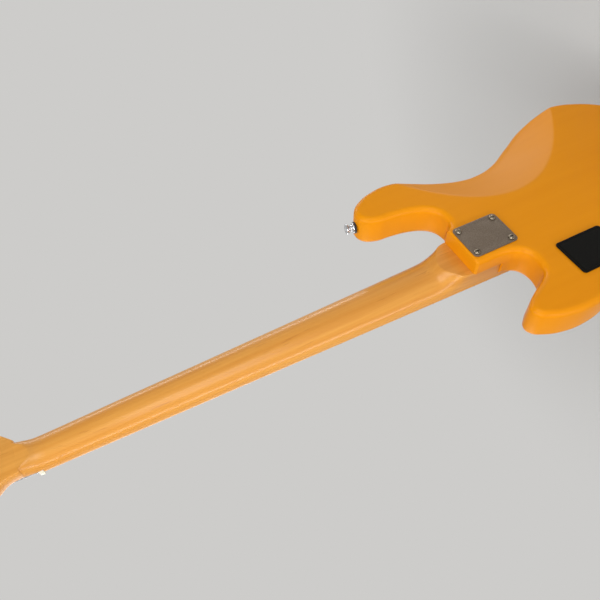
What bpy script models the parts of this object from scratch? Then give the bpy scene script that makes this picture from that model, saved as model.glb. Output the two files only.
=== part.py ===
"""Four-string electric bass guitar with a bolt-on neck, as an assembly of its separate pieces.

Metres. The bass stands upright: +Z runs up the neck to the headstock, the strings face -Y,
the bass side is -X. The origin is at the nut, on the centre line, at the fretboard's surface.
"""
import math

import bmesh
import bpy
from mathutils import Matrix, Vector

for old in list(bpy.data.objects):
    bpy.data.objects.remove(old, do_unlink=True)

# Driving dimensions of strings and neck
SCALE_LENGTH = 0.864
FRETS = 20
GAP = 0.0003
SHARP_ANGLE = math.radians(35.0)
NECK_END = -0.604
NUT_HALF = 0.01905
HEEL_HALF = 0.0310
BOARD_RADIUS = 0.254
BOARD_THICK = 0.006
STRING_NAMES = ("E", "A", "D", "G")
STRING_RADIUS = {"E": 0.0013, "A": 0.00105, "D": 0.00082, "G": 0.00057}
PLAIN_STRING = "G"
GUIDED_STRINGS = ("D", "G")
BALL_RADIUS = 0.0024
NUT_SPACING = 0.010
SADDLE_SPACING = 0.019
NUT_STRING_Y = -0.0016
SADDLE_STRING_Y = -0.0050
SADDLE_Z = {"E": -0.8680, "A": -0.8668, "D": -0.8658, "G": -0.8648}

# Body
FRONT_Y = 0.0095
BODY_THICK = 0.0445
BACK_Y = FRONT_Y + BODY_THICK
ROUND_OVER = 0.008
HEEL_Z = -0.531
POCKET_FLOOR = 0.0254
POCKET_MOUTH = -0.500
TREBLE_NOTCH = (0.029, 0.046, -0.573)
BASS_NOTCH = (-0.044, -0.0285, -0.5365)
PICKUP_HOLLOW = 0.0305
CONTROL_HOLLOW = 0.0415
BATTERY_HOLLOWS = ((0.0032, 0.0514), (0.0072, 0.0241))
BODY_SCREW_HOLE = 0.0029
BELLY_RADIUS = 0.403
BELLY_SLOPE = math.radians(15.0)
BELLY_TOP = (-0.0455, -0.655)
ARM_RADIUS = 0.330
ARM_SLOPE = math.radians(13.0)
ARM_TOP = (-0.105, -0.835)

# Headstock and tuners
HEAD_FRONT = 0.0080
HEAD_BACK = 0.0225
HEAD_ROUND = 0.0016
ROD_Y = 0.0132
ROD_RADIUS = 0.0030
ROD_BORE = 0.0034
ROD_CHANNEL_HALF = 0.0032
ROD_ACCESS = (0.0110, 0.030, 0.004)
ROD_ACCESS_Z = 0.0370
NECK_SCREW_HOLE = 0.0028
TREE_PLACE = (0.0092, 0.080)
TREE_UNDER = 0.0003
TREE_RADIUS = 0.0078
POST_Z = {"E": 0.055, "A": 0.097, "D": 0.139, "G": 0.181}
POST_HOLE = 0.0092
POST_WAIST = 0.0059
POST_TOP = 0.0345
WIND_GAP = 0.00035
WIND_TURNS = 2
WIND_STEP_GAP = 0.0005
GEAR_TEETH = 20
GEAR_TIP = 0.0080
GEAR_ROOT = 0.0069
GEAR_MID = 0.0062
WORM_OFFSET = 0.0112
WORM_CORE = 0.0027
WORM_OUTER = 0.0037
KEY_SHAFT = 0.0020
KEY_CENTRE = -0.0385

# Hardware on the body
PLATE_CENTRE = (0.0, -0.5651)
PLATE_SIZE = (0.051, 0.0642)
PLATE_THICK = 0.0015
PLATE_CORNER = 0.0055
SCREW_SPACING = (0.0381, 0.0512)
NECK_PICKUP_Z = -0.7115
BRIDGE_PICKUP_Z = -0.803
NECK_PICKUP_HALF = 0.0460
BRIDGE_PICKUP_HALF = 0.0475
PICKUP_WIDE = 0.00925
EAR_INSET = 0.008
EAR_RADIUS = 0.0036
EAR_STEPS = 3
POLE_SPREAD = 0.0048
POLE_RADIUS = 0.0024
BRIDGE_FRONT_Z = -0.838
BRIDGE_REAR_Z = -0.893
BRIDGE_HALF = 0.041
BRIDGE_THICK = 0.0019
BRIDGE_WALL = 0.0020
STRING_HOLE_Y = -0.0040
SADDLE_HALF = 0.0086
SADDLE_Y = -0.0008
SADDLE_R = 0.0045
GROOVE_R = 0.0039
SCREW_Y = 0.0010
SPRING_TURNS = 4
SPRING_WIRE = 0.0004
SPRING_RING = 0.0023
CONTROL_CENTRE = (0.098, -0.808)
CONTROL_TILT = math.radians(6.0)
CONTROL_SIZE = (0.042, 0.162)
CONTROL_PLACES = {"volume": 0.056, "balance": 0.019, "tone": -0.018, "jack": -0.056}
BATTERY_CENTRE = (0.0788, -0.6617)
FLANGE = (0.052, 0.068)
FLANGE_PROUD = 0.0020
LID_LEDGE = 0.0536
# Strap buttons: x and z of the base, and degrees from +Z towards -X
STRAPS = {"upper": (-0.1062, -0.4446, 12.0), "lower": (0.0250, -0.9623, 184.0)}

PARTS = bpy.data.collections.new("electric_bass_guitar")
CUTTERS = bpy.data.collections.new("electric_bass_guitar_cutters")
bpy.context.scene.collection.children.link(PARTS)
bpy.context.scene.collection.children.link(CUTTERS)


def finish(name, colour, roughness, metallic=0.0):
    """A plain Principled material."""
    material = bpy.data.materials.new(name)
    material.use_nodes = True
    shader = material.node_tree.nodes["Principled BSDF"]
    shader.inputs["Base Color"].default_value = (*colour, 1.0)
    shader.inputs["Roughness"].default_value = roughness
    shader.inputs["Metallic"].default_value = metallic
    return material


LACQUER = finish("butterscotch_lacquer", (0.62, 0.24, 0.012), 0.35)
MAPLE = finish("amber_maple", (0.72, 0.38, 0.11), 0.25)
BONE = finish("bone", (0.85, 0.78, 0.62), 0.4)
CHROME = finish("chrome", (0.62, 0.62, 0.63), 0.12, 1.0)
SATIN = finish("satin_nickel", (0.22, 0.19, 0.15), 0.38, 1.0)
STEEL = finish("steel", (0.55, 0.55, 0.56), 0.25, 1.0)
NICKEL_WIND = finish("wound_nickel", (0.60, 0.58, 0.54), 0.35, 1.0)
BRASS = finish("brass", (0.72, 0.50, 0.20), 0.3, 1.0)
BLACK = finish("black_plastic", (0.012, 0.012, 0.011), 0.45)
GUARD = finish("guard_plastic", (0.020, 0.020, 0.020), 0.2)
FELT = finish("black_felt", (0.02, 0.02, 0.02), 0.95)
CELL = finish("battery_case", (0.05, 0.05, 0.055), 0.4, 0.3)
BOARD = finish("circuit_board", (0.02, 0.12, 0.05), 0.5)


def place(name, mesh, material, collection=PARTS, location=(0, 0, 0), turn=(0, 0, 0), parent=None):
    """Link a mesh as an object; a cutter is only a guide."""
    item = bpy.data.objects.new(name, mesh)
    collection.objects.link(item)
    item.location = location
    item.rotation_euler = turn
    item.parent = parent
    if material:
        mesh.materials.append(material)
    if collection is CUTTERS:
        item.hide_render = True
        item.display_type = "WIRE"
    return item


def seat(name, location, turn=(0, 0, 0)):
    """An empty that carries a group of pieces."""
    frame = bpy.data.objects.new(name, None)
    PARTS.objects.link(frame)
    frame.location = location
    frame.rotation_euler = turn
    return frame


def soften(mesh):
    """Smooth shading with the real corners kept sharp."""
    mesh.shade_smooth()
    mesh.set_sharp_from_angle(angle=SHARP_ANGLE)


def mesh_of(bm, name):
    """Close a bmesh into mesh data with outward faces."""
    bmesh.ops.recalc_face_normals(bm, faces=bm.faces)
    mesh = bpy.data.meshes.new(name)
    bm.to_mesh(mesh)
    bm.free()
    return mesh


def boolean(item, other, operation="DIFFERENCE"):
    """Cut or join with another object."""
    modifier = item.modifiers.new(f"{operation.lower()}_{other.name}", "BOOLEAN")
    modifier.operation = operation
    modifier.solver = "EXACT"
    modifier.object = other


def bevel(item, width, segments):
    """Round the sharp edges."""
    modifier = item.modifiers.new("rounded_edges", "BEVEL")
    modifier.width = width
    modifier.segments = segments
    modifier.limit_method = "ANGLE"
    modifier.angle_limit = SHARP_ANGLE
    modifier.use_clamp_overlap = False


def block(name, low, high, material=None, collection=CUTTERS, parent=None):
    """A box between two corners."""
    bm = bmesh.new()
    bmesh.ops.create_cube(bm, size=1.0)
    size = [high[i] - low[i] for i in range(3)]
    bmesh.ops.scale(bm, vec=size, verts=bm.verts)
    centre = [(high[i] + low[i]) / 2 for i in range(3)]
    return place(name, mesh_of(bm, name), material, collection, centre, (0, 0, 0), parent)


def rod(name, start, end, radius, sides=16, material=None, collection=CUTTERS, parent=None):
    """A round bar from one point to another."""
    start = Vector(start)
    end = Vector(end)
    axis = end - start
    bm = bmesh.new()
    bmesh.ops.create_cone(bm, cap_ends=True, segments=sides, radius1=radius, radius2=radius,
                          depth=axis.length)
    mesh = mesh_of(bm, name)
    soften(mesh)
    turn = axis.to_track_quat("Z", "Y").to_euler()
    return place(name, mesh, material, collection, (start + end) / 2, turn, parent)


def turned(name, profile, base, axis, material, sides=20, collection=PARTS, parent=None, closed=False):
    """A lathe-turned piece: (radius, height) points from the top down the outer side."""
    mesh = bpy.data.meshes.new(name)
    points = [(radius, 0.0, height) for radius, height in profile]
    edges = [(i, i + 1) for i in range(len(points) - 1)]
    if closed:
        edges.append((len(points) - 1, 0))
    mesh.from_pydata(points, edges, [])
    turn = Vector(axis).to_track_quat("Z", "Y").to_euler()
    item = place(name, mesh, material, collection, base, turn, parent)
    screw = item.modifiers.new("lathe", "SCREW")
    screw.axis = "Z"
    screw.steps = sides
    screw.render_steps = sides
    screw.use_merge_vertices = True
    screw.merge_threshold = 0.00001
    screw.use_smooth_shade = True
    return item


def curve_mesh(name, item):
    """The mesh of a curve object, with its caps welded; a flat outline's caps are one face each."""
    bpy.context.view_layer.update()
    graph = bpy.context.evaluated_depsgraph_get()
    mesh = bpy.data.meshes.new_from_object(item.evaluated_get(graph))
    mesh.name = name
    bm = bmesh.new()
    bm.from_mesh(mesh)
    bmesh.ops.remove_doubles(bm, verts=bm.verts, dist=0.000001)
    if item.data.dimensions == "2D":
        caps = [face for face in bm.faces if len({round(vert.co.z, 7) for vert in face.verts}) == 1]
        bmesh.ops.delete(bm, geom=caps, context="FACES")
        bmesh.ops.holes_fill(bm, edges=[edge for edge in bm.edges if edge.is_boundary], sides=0)
    bmesh.ops.recalc_face_normals(bm, faces=bm.faces)
    bm.to_mesh(mesh)
    bm.free()
    mesh.materials.clear()
    return mesh


def slab(name, outline, y_front, y_back, material=None, collection=CUTTERS, smooth=None, parent=None):
    """A flat outline in x and z, given thickness between two depths. smooth=steps rounds the outline."""
    curve = bpy.data.curves.new(name, "CURVE")
    curve.dimensions = "2D"
    curve.fill_mode = "BOTH"
    curve.extrude = (y_back - y_front) / 2
    if smooth:
        curve.resolution_u = smooth
        spline = curve.splines.new("BEZIER")
        spline.bezier_points.add(len(outline) - 1)
        for point, place_xz in zip(spline.bezier_points, outline):
            point.co = (place_xz[0], place_xz[1], 0)
            kind = "VECTOR" if len(place_xz) == 3 else "AUTO"
            point.handle_left_type = kind
            point.handle_right_type = kind
    else:
        spline = curve.splines.new("POLY")
        spline.points.add(len(outline) - 1)
        for point, place_xz in zip(spline.points, outline):
            point.co = (place_xz[0], place_xz[1], 0, 1)
    spline.use_cyclic_u = True
    drawn = bpy.data.objects.new(name, curve)
    CUTTERS.objects.link(drawn)
    drawn.location = (0, (y_front + y_back) / 2, 0)
    drawn.rotation_euler = (math.pi / 2, 0, 0)
    mesh = curve_mesh(name, drawn)
    bpy.data.objects.remove(drawn, do_unlink=True)
    soften(mesh)
    middle = (0, (y_front + y_back) / 2, 0)
    return place(name, mesh, material, collection, middle, (math.pi / 2, 0, 0), parent)


def tube(name, points, radius, material, radii=None):
    """A wire along a list of points."""
    curve = bpy.data.curves.new(name, "CURVE")
    curve.dimensions = "3D"
    curve.bevel_depth = radius
    curve.bevel_resolution = 1
    curve.use_fill_caps = True
    spline = curve.splines.new("POLY")
    spline.points.add(len(points) - 1)
    for i, (point, where) in enumerate(zip(spline.points, points)):
        point.co = (*where, 1)
        point.radius = radii[i] if radii else 1.0
    item = bpy.data.objects.new(name, curve)
    PARTS.objects.link(item)
    curve.materials.append(material)
    return item


def loft(name, sections, material):
    """A skin over closed sections of the same count, with flat ends."""
    bm = bmesh.new()
    rings = [[bm.verts.new(point) for point in section] for section in sections]
    count = len(rings[0])
    for ring, after in zip(rings, rings[1:]):
        for i in range(count):
            j = (i + 1) % count
            bm.faces.new((ring[i], ring[j], after[j], after[i]))
    bm.faces.new(rings[0])
    bm.faces.new(reversed(rings[-1]))
    mesh = mesh_of(bm, name)
    soften(mesh)
    return place(name, mesh, material)


def rounded(width, height, radius, centre=(0.0, 0.0), steps=4, tilt=0.0):
    """A rounded rectangle's outline in x and z."""
    points = []
    corners = ((1, 1, 0), (-1, 1, 1), (-1, -1, 2), (1, -1, 3))
    for sign_x, sign_z, quarter in corners:
        for step in range(steps + 1):
            angle = math.pi / 2 * (quarter + step / steps)
            x = sign_x * (width / 2 - radius) + radius * math.cos(angle)
            z = sign_z * (height / 2 - radius) + radius * math.sin(angle)
            points.append((centre[0] + x * math.cos(tilt) - z * math.sin(tilt),
                           centre[1] + x * math.sin(tilt) + z * math.cos(tilt)))
    return points


def mix(a, b, t):
    """The value a fraction t of the way from a to b."""
    return a + (b - a) * t


def along(table, z):
    """Values of a table of (z, value, value...) rows, between its rows."""
    if z <= table[0][0]:
        return table[0][1:]
    for low, high in zip(table, table[1:]):
        if z <= high[0]:
            t = (z - low[0]) / (high[0] - low[0])
            return [mix(a, b, t) for a, b in zip(low[1:], high[1:])]
    return table[-1][1:]


def fret_z(number):
    """Equal temperament places each fret."""
    return -SCALE_LENGTH * (1 - 2 ** (-number / 12))


def half_width(z):
    """Half the neck's width, from the nut to the heel."""
    return mix(NUT_HALF, HEEL_HALF, min(max(z / NECK_END, 0.0), 1.0))


def string_x(name, z):
    """The string's distance from the centre line."""
    place_no = STRING_NAMES.index(name) - 1.5
    return place_no * mix(NUT_SPACING, SADDLE_SPACING, z / -SCALE_LENGTH)


def string_y(name, z):
    """The depth of the string's centre over the board."""
    return mix(NUT_STRING_Y, SADDLE_STRING_Y, z / SADDLE_Z[name]) - STRING_RADIUS[name]


def wind_radius(name):
    """Radius of the middle of the string's turns on its post."""
    return POST_WAIST + WIND_GAP + STRING_RADIUS[name]


def post_place(name):
    """Where the string, going straight on past the nut, meets its post."""
    z = POST_Z[name]
    return string_x(name, z) - wind_radius(name), z


# Body outline, as x and z, going down the bass side and up the treble side; True marks a corner
BODY_OUTLINE = [
    (-0.0325, -0.520, True), (-0.0325, -0.534), (-0.0400, -0.5425), (-0.0510, -0.5440), (-0.0640, -0.5405),
    (-0.0745, -0.5290), (-0.0815, -0.5090), (-0.0850, -0.4870), (-0.0880, -0.4650), (-0.0955, -0.4505),
    (-0.1065, -0.4447), (-0.1190, -0.4490), (-0.1315, -0.4625), (-0.1400, -0.4840), (-0.1420, -0.5060),
    (-0.1345, -0.5370), (-0.1190, -0.5730), (-0.1085, -0.6100), (-0.1070, -0.6360), (-0.1140, -0.6730),
    (-0.1370, -0.7180), (-0.1590, -0.7610), (-0.1685, -0.8080), (-0.1600, -0.8490), (-0.1320, -0.8870),
    (-0.0820, -0.9270), (-0.0180, -0.9545), (0.0500, -0.9620), (0.1150, -0.9480), (0.1610, -0.9060),
    (0.1770, -0.8460), (0.1670, -0.7950), (0.1400, -0.7500), (0.1210, -0.7180), (0.1180, -0.6980),
    (0.1240, -0.6740), (0.1370, -0.6430), (0.1425, -0.6080), (0.1400, -0.5810), (0.1320, -0.5580),
    (0.1235, -0.5458), (0.1140, -0.5433), (0.1035, -0.5500), (0.0930, -0.5640), (0.0845, -0.5830),
    (0.0790, -0.5930), (0.0700, -0.5983), (0.0580, -0.5996), (0.0460, -0.5955), (0.0385, -0.5870),
    (0.0340, -0.5720), (0.0325, -0.5500), (0.0325, -0.520, True),
]

HEAD_OUTLINE = [
    (-0.0195, 0.0180, True), (-0.0235, 0.0215), (-0.0310, 0.0290), (-0.0388, 0.0385), (-0.0425, 0.0480),
    (-0.0428, 0.0590), (-0.0330, 0.1030), (-0.0160, 0.1810), (-0.0110, 0.1990), (-0.0010, 0.2115),
    (0.0110, 0.2145), (0.0195, 0.2070), (0.0230, 0.1900), (0.0245, 0.1600), (0.0280, 0.1180),
    (0.0330, 0.0790), (0.0335, 0.0570), (0.0285, 0.0445), (0.0215, 0.0330), (0.0195, 0.0180, True),
]

GUARD_OUTLINE = [
    (-0.0550, -0.7420), (-0.0690, -0.7150), (-0.0730, -0.6800), (-0.0740, -0.6400), (-0.0810, -0.6000),
    (-0.0980, -0.5620), (-0.1160, -0.5320), (-0.1230, -0.5080), (-0.1160, -0.4900), (-0.1050, -0.4920),
    (-0.0990, -0.5120), (-0.0880, -0.5380), (-0.0700, -0.5540), (-0.0450, -0.5590), (0.0000, -0.5800),
    (0.0420, -0.6080), (0.0620, -0.6120), (0.0820, -0.6060), (0.0950, -0.5880), (0.1030, -0.5680),
    (0.1150, -0.5580), (0.1260, -0.5680), (0.1300, -0.5950), (0.1270, -0.6250), (0.1140, -0.6600),
    (0.1060, -0.6950), (0.0980, -0.7150), (0.0760, -0.7190), (0.0660, -0.7320), (0.0520, -0.7450),
    (0.0000, -0.7500),
]


def scoop_cutter(name, radius, slope, top, face_y, outward):
    """A long cylinder whose straight side leaves the face at a slope, towards the bass edge."""
    along_slope = Vector((-math.cos(slope), -outward * math.sin(slope), 0))
    away = Vector((-math.sin(slope), outward * math.cos(slope), 0))
    middle = Vector((top[0], face_y, top[1])) + away * radius
    reach = 0.35
    return rod(name, middle - along_slope * reach, middle + along_slope * reach, radius, sides=112)


def pocket_outline(room):
    """The neck's outline in its pocket, with some room round it, as far as past the body's edge."""
    half_end = half_width(NECK_END) + room
    half_mouth = half_width(POCKET_MOUTH) + room
    return [(-half_end, NECK_END - room), (half_end, NECK_END - room),
            (half_mouth, POCKET_MOUTH), (-half_mouth, POCKET_MOUTH)]


def make_body():
    """Solid ash body: outline, belly and arm scoops, round-over, neck pocket and cavities."""
    body = slab("body", BODY_OUTLINE, FRONT_Y, BACK_Y, LACQUER, PARTS, smooth=2)
    bevel(body, ROUND_OVER, 2)
    boolean(body, scoop_cutter("belly_scoop", BELLY_RADIUS, BELLY_SLOPE, BELLY_TOP, BACK_Y, 1.0))
    boolean(body, scoop_cutter("arm_scoop", ARM_RADIUS, ARM_SLOPE, ARM_TOP, FRONT_Y, -1.0))
    boolean(body, block("heel_face", (-0.05, FRONT_Y - 0.01, HEEL_Z), (0.05, BACK_Y + 0.01, POCKET_MOUTH)))
    above = FRONT_Y - 0.02
    floor = POCKET_FLOOR + GAP
    boolean(body, slab("neck_pocket", pocket_outline(GAP), above, floor))
    for name, (low_x, high_x, low_z) in (("treble", TREBLE_NOTCH), ("bass", BASS_NOTCH)):
        boolean(body, block(f"{name}_notch", (low_x, above, low_z), (high_x, floor, POCKET_MOUTH)))
    for centre_z, half in ((NECK_PICKUP_Z, NECK_PICKUP_HALF), (BRIDGE_PICKUP_Z, BRIDGE_PICKUP_HALF)):
        hollow = pickup_outline(half, centre_z, 0.0006)
        boolean(body, slab(f"pickup_hollow_{half}", hollow, above, PICKUP_HOLLOW))
    width, height = CONTROL_SIZE
    hollow = rounded(width - 0.010, height - 0.010, 0.010, CONTROL_CENTRE, 3, CONTROL_TILT)
    boolean(body, slab("control_hollow", hollow, above, CONTROL_HOLLOW))
    for inset, depth in BATTERY_HOLLOWS:
        hollow = rounded(FLANGE[0] - inset, FLANGE[1] - inset, 0.0035, BATTERY_CENTRE, 2)
        boolean(body, slab(f"battery_hollow_{inset}", hollow, depth, BACK_Y + 0.01))
    for number, (x, z) in enumerate(neck_screw_places()):
        hole = rod(f"body_screw_hole_{number}", (x, 0.0, z), (x, BACK_Y + 0.01, z), BODY_SCREW_HOLE, 8)
        boolean(body, hole)
    for name in STRAPS:
        base, axis = strap_place(name)
        boolean(body, rod(f"strap_hole_{name}", base - axis * 0.026, base + axis * 0.01, 0.0024, 10))


def neck_screw_places():
    """The four screws of the neck joint."""
    half_x = SCREW_SPACING[0] / 2
    half_z = SCREW_SPACING[1] / 2
    centre_z = PLATE_CENTRE[1]
    return [(-half_x, centre_z + half_z), (half_x, centre_z + half_z),
            (-half_x, centre_z - half_z), (half_x, centre_z - half_z)]


def strap_place(name):
    """The base of a strap button and the unit vector it points along."""
    x, z, degrees = STRAPS[name]
    angle = math.radians(degrees)
    return Vector((x, (FRONT_Y + BACK_Y) / 2, z)), Vector((-math.sin(angle), 0.0, math.cos(angle)))


# Depth of the neck's back behind the board, and how square its section is, along the neck
NECK_BACK = [
    (-0.604, 0.0194, 9.0), (-0.533, 0.0194, 8.0), (-0.526, 0.0194, 4.6), (-0.520, 0.0193, 3.4),
    (-0.514, 0.0192, 2.7), (-0.507, 0.0190, 2.2), (-0.498, 0.0188, 2.0), (-0.450, 0.0185, 2.0),
    (-0.300, 0.0170, 2.0), (-0.200, 0.0160, 2.0), (-0.100, 0.0149, 2.0), (-0.035, 0.0138, 2.0),
    (-0.005, 0.0141, 2.0), (0.006, 0.0150, 2.3), (0.013, 0.0154, 3.0), (0.020, 0.0150, 4.6),
    (0.026, 0.0143, 8.0),
]


def neck_section(z):
    """A closed section: flat under the board, rounded at the back."""
    depth, square = along(NECK_BACK, z)
    step_down = min(max((z - 0.006) / 0.014, 0.0), 1.0)
    top = mix(BOARD_THICK + GAP / 2, HEAD_FRONT, step_down)
    half = half_width(z)
    count = 13
    points = []
    for step in range(count):
        angle = math.pi * step / (count - 1)
        across = math.copysign(abs(math.cos(angle)) ** (2 / square), math.cos(angle))
        back = abs(math.sin(angle)) ** (2 / square)
        points.append((half * across, top + depth * back, z))
    return points


def make_neck():
    """Maple neck: lofted back, flat headstock, rod channel, and holes for tuners and screws."""
    heights = [row[0] for row in NECK_BACK] + [-0.475, -0.380]
    neck = loft("neck", [neck_section(z) for z in sorted(heights)], MAPLE)
    head = slab("headstock", HEAD_OUTLINE, HEAD_FRONT, HEAD_BACK, None, CUTTERS, smooth=2)
    bevel(head, HEAD_ROUND, 1)
    boolean(neck, head, "UNION")
    boolean(neck, rod("rod_bore", (0, ROD_Y, -0.592), (0, ROD_Y, 0.030), ROD_BORE, 12))
    boolean(neck, block("rod_channel", (-ROD_CHANNEL_HALF, 0.0, -0.5915), (ROD_CHANNEL_HALF, ROD_Y, -0.002)))
    access = rounded(*ROD_ACCESS, (0.0, ROD_ACCESS_Z), 3)
    boolean(neck, slab("rod_access", access, 0.0, ROD_Y + 0.0056))
    for name in STRING_NAMES:
        x, z = post_place(name)
        boolean(neck, rod(f"post_hole_{name}", (x, 0.0, z), (x, HEAD_BACK + 0.01, z), POST_HOLE, 14))
    for number, (x, z) in enumerate(neck_screw_places()):
        boolean(neck, rod(f"neck_screw_hole_{number}", (x, 0.0105, z), (x, 0.04, z), NECK_SCREW_HOLE, 8))
    tree_x, tree_z = TREE_PLACE
    boolean(neck, rod("tree_hole", (tree_x, 0.0, tree_z), (tree_x, 0.0185, tree_z), 0.0018, 10))


def make_fretboard():
    """Maple board with a cambered face and its fret wires, as one skin of cross sections."""
    crown = 0.0011
    foot = 0.0013
    rows = [(NECK_END, 0.0)]
    for number in range(FRETS, 0, -1):
        z = fret_z(number)
        rows += [(z - foot, 0.0), (z, crown), (z + foot, 0.0)]
    rows.append((0.0, 0.0))
    spans = (-1.0, -0.4, 0.4, 1.0)
    sections = []
    for z, lift in rows:
        half = half_width(z)
        face = []
        for span in spans:
            drop = BOARD_RADIUS - math.sqrt(BOARD_RADIUS ** 2 - (half * span) ** 2)
            face.append((half * span, drop - lift, z))
        bottom = BOARD_THICK - GAP / 2
        sections.append(face + [(half, bottom, z), (-half, bottom, z)])
    loft("fretboard", sections, MAPLE)


def make_nut():
    """Bone nut with a slot for each string."""
    nut = block("nut", (-0.0196, -0.0028, 0.0003), (0.0196, BOARD_THICK - GAP / 2, 0.0051), BONE, PARTS)
    bevel(nut, 0.0005, 1)
    for name in STRING_NAMES:
        room = STRING_RADIUS[name] + GAP
        x = string_x(name, 0.0)
        y = string_y(name, 0.0)
        boolean(nut, rod(f"nut_slot_{name}", (x, y, -0.01), (x, y, 0.02), room, 8))
        boolean(nut, block(f"nut_mouth_{name}", (x - room, -0.02, -0.01), (x + room, y, 0.02)))


def make_truss_rod():
    """Steel rod in the neck's channel, its hex nut, and the cover over the access slot."""
    rod("truss_rod", (0, ROD_Y, -0.590), (0, ROD_Y, 0.0345), ROD_RADIUS, 12, STEEL, PARTS)
    profile = [(0.0050, 0.0115), (0.0050, 0.0), (0.0038, 0.0), (0.0038, 0.0115)]
    turned("truss_rod_nut", profile, (0, ROD_Y, 0.0245), (0, 0, 1), BRASS, 6, closed=True)
    outline = [(-0.0090, 0.0215), (0.0090, 0.0215), (0.0100, 0.0240), (0.0075, 0.0560), (0.0055, 0.0580),
               (-0.0055, 0.0580), (-0.0075, 0.0560), (-0.0100, 0.0240)]
    slab("truss_rod_cover", outline, 0.0059, HEAD_FRONT - GAP, GUARD, PARTS)


def make_string_tree():
    """Round guide that presses the two thin strings down behind the nut."""
    x, z = TREE_PLACE
    # Heights run from the headstock's face towards the strings
    top = HEAD_FRONT - TREE_UNDER
    profile = [(0.0, top + 0.0032), (0.0045, top + 0.0029), (TREE_RADIUS, top + 0.0012), (TREE_RADIUS, top),
               (0.0026, top), (0.0026, GAP), (0.0014, GAP), (0.0014, -0.0095), (0.0, -0.0100)]
    turned("string_tree", profile, (x, HEAD_FRONT, z), (0, -1, 0), CHROME, 12)


def make_tuner(name, tilt):
    """Open-gear tuner: plate with two bearings, post with its gear, worm with its key, and bushing."""
    x, z = post_place(name)
    frame = seat(f"tuner_{name}_seat", (x, HEAD_BACK, z), (0, tilt, 0))

    outline = rounded(0.029, 0.034, 0.003, (-0.001, 0.003), 1)
    plate = slab(f"tuner_plate_{name}", outline, GAP, 0.0021, CHROME, PARTS, parent=frame)
    for number, (low, high) in enumerate(((-0.0105, -0.0085), (0.0085, 0.0105))):
        ear = block(f"bearing_{name}_{number}", (low, 0.0012, WORM_OFFSET - 0.0042),
                    (high, GEAR_MID + 0.0042, WORM_OFFSET + 0.0042), parent=frame)
        boolean(plate, ear, "UNION")
    shaft_hole = rod(f"shaft_hole_{name}", (-0.02, GEAR_MID, WORM_OFFSET), (0.02, GEAR_MID, WORM_OFFSET),
                     KEY_SHAFT + GAP, 8, parent=frame)
    boolean(plate, shaft_hole)
    boolean(plate, rod(f"spindle_hole_{name}", (0, -0.01, 0), (0, 0.01, 0), 0.0047, 8, parent=frame))

    # Heights run from the headstock's back towards the strings
    gear_back = -GEAR_MID - 0.0036
    profile = [(0.0, POST_TOP), (0.0062, POST_TOP), (0.0067, POST_TOP - 0.0030),
               (POST_WAIST, POST_TOP - 0.0065), (POST_WAIST, 0.0178), (0.0063, 0.0165), (0.0063, 0.0010),
               (0.0040, 0.0010), (0.0040, -GEAR_MID - 0.0019), (0.0024, gear_back), (0.0, gear_back)]
    post = turned(f"tuner_post_{name}", profile, (0, 0, 0), (0, -1, 0), CHROME, 10, parent=frame)
    gear = gear_blank(f"gear_{name}", frame)
    boolean(post, gear, "UNION")
    slot = block(f"post_slot_{name}", (-0.02, -POST_TOP - 0.01, -0.0016),
                 (0.02, -POST_TOP + 0.0075, 0.0016), parent=frame)
    boolean(post, slot)

    make_key(name, frame)

    face = HEAD_BACK - HEAD_FRONT + GAP
    profile = [(0.0100, 0.0159), (0.0100, face), (0.0087, face), (0.0087, 0.0065), (0.0067, 0.0065),
               (0.0067, 0.0159)]
    turned(f"tuner_bushing_{name}", profile, (0, 0, 0), (0, -1, 0), CHROME, 10, parent=frame, closed=True)


def gear_blank(name, frame):
    """The gear that the worm turns, with straight-sided teeth."""
    outline = []
    pitch = 2 * math.pi / GEAR_TEETH
    for tooth in range(GEAR_TEETH):
        # A gap between teeth faces the worm, where its thread passes
        middle = math.pi / 2 + pitch * (tooth + 0.5)
        for turn, radius in ((-0.5, GEAR_ROOT), (-0.14, GEAR_TIP), (0.14, GEAR_TIP)):
            angle = middle + turn * pitch
            outline.append((radius * math.cos(angle), radius * math.sin(angle)))
    return slab(name, outline, GEAR_MID - 0.0020, GEAR_MID + 0.0020, parent=frame)


def make_key(name, frame):
    """Key, shaft and worm in one; its origin is on the shaft's axis."""
    centre = (0.0, GEAR_MID, WORM_OFFSET)
    profile = [(0.0, 0.0120), (0.0028, 0.0120), (0.0028, 0.0108), (KEY_SHAFT, 0.0108), (KEY_SHAFT, 0.0078),
               (WORM_CORE, 0.0074), (WORM_CORE, -0.0074), (KEY_SHAFT, -0.0078), (KEY_SHAFT, -0.0112),
               (0.0034, -0.0112), (0.0034, -0.0135), (0.0024, -0.0150), (0.0024, -0.0250), (0.0034, -0.0290),
               (0.0, -0.0330)]
    key = turned(f"tuner_key_{name}", profile, centre, (1, 0, 0), CHROME, 8, parent=frame)
    lobes = []
    points = 15
    for step in range(points):
        angle = 2 * math.pi * step / points
        radius = 0.0112 + 0.0022 * math.cos(3 * angle)
        lobes.append((KEY_CENTRE - radius * math.cos(angle), WORM_OFFSET + radius * math.sin(angle)))
    clover = slab(f"clover_{name}", lobes, GEAR_MID - 0.0018, GEAR_MID + 0.0018, parent=frame)
    boolean(key, clover, "UNION")
    boolean(key, worm_thread(f"thread_{name}", centre, frame), "UNION")


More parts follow.
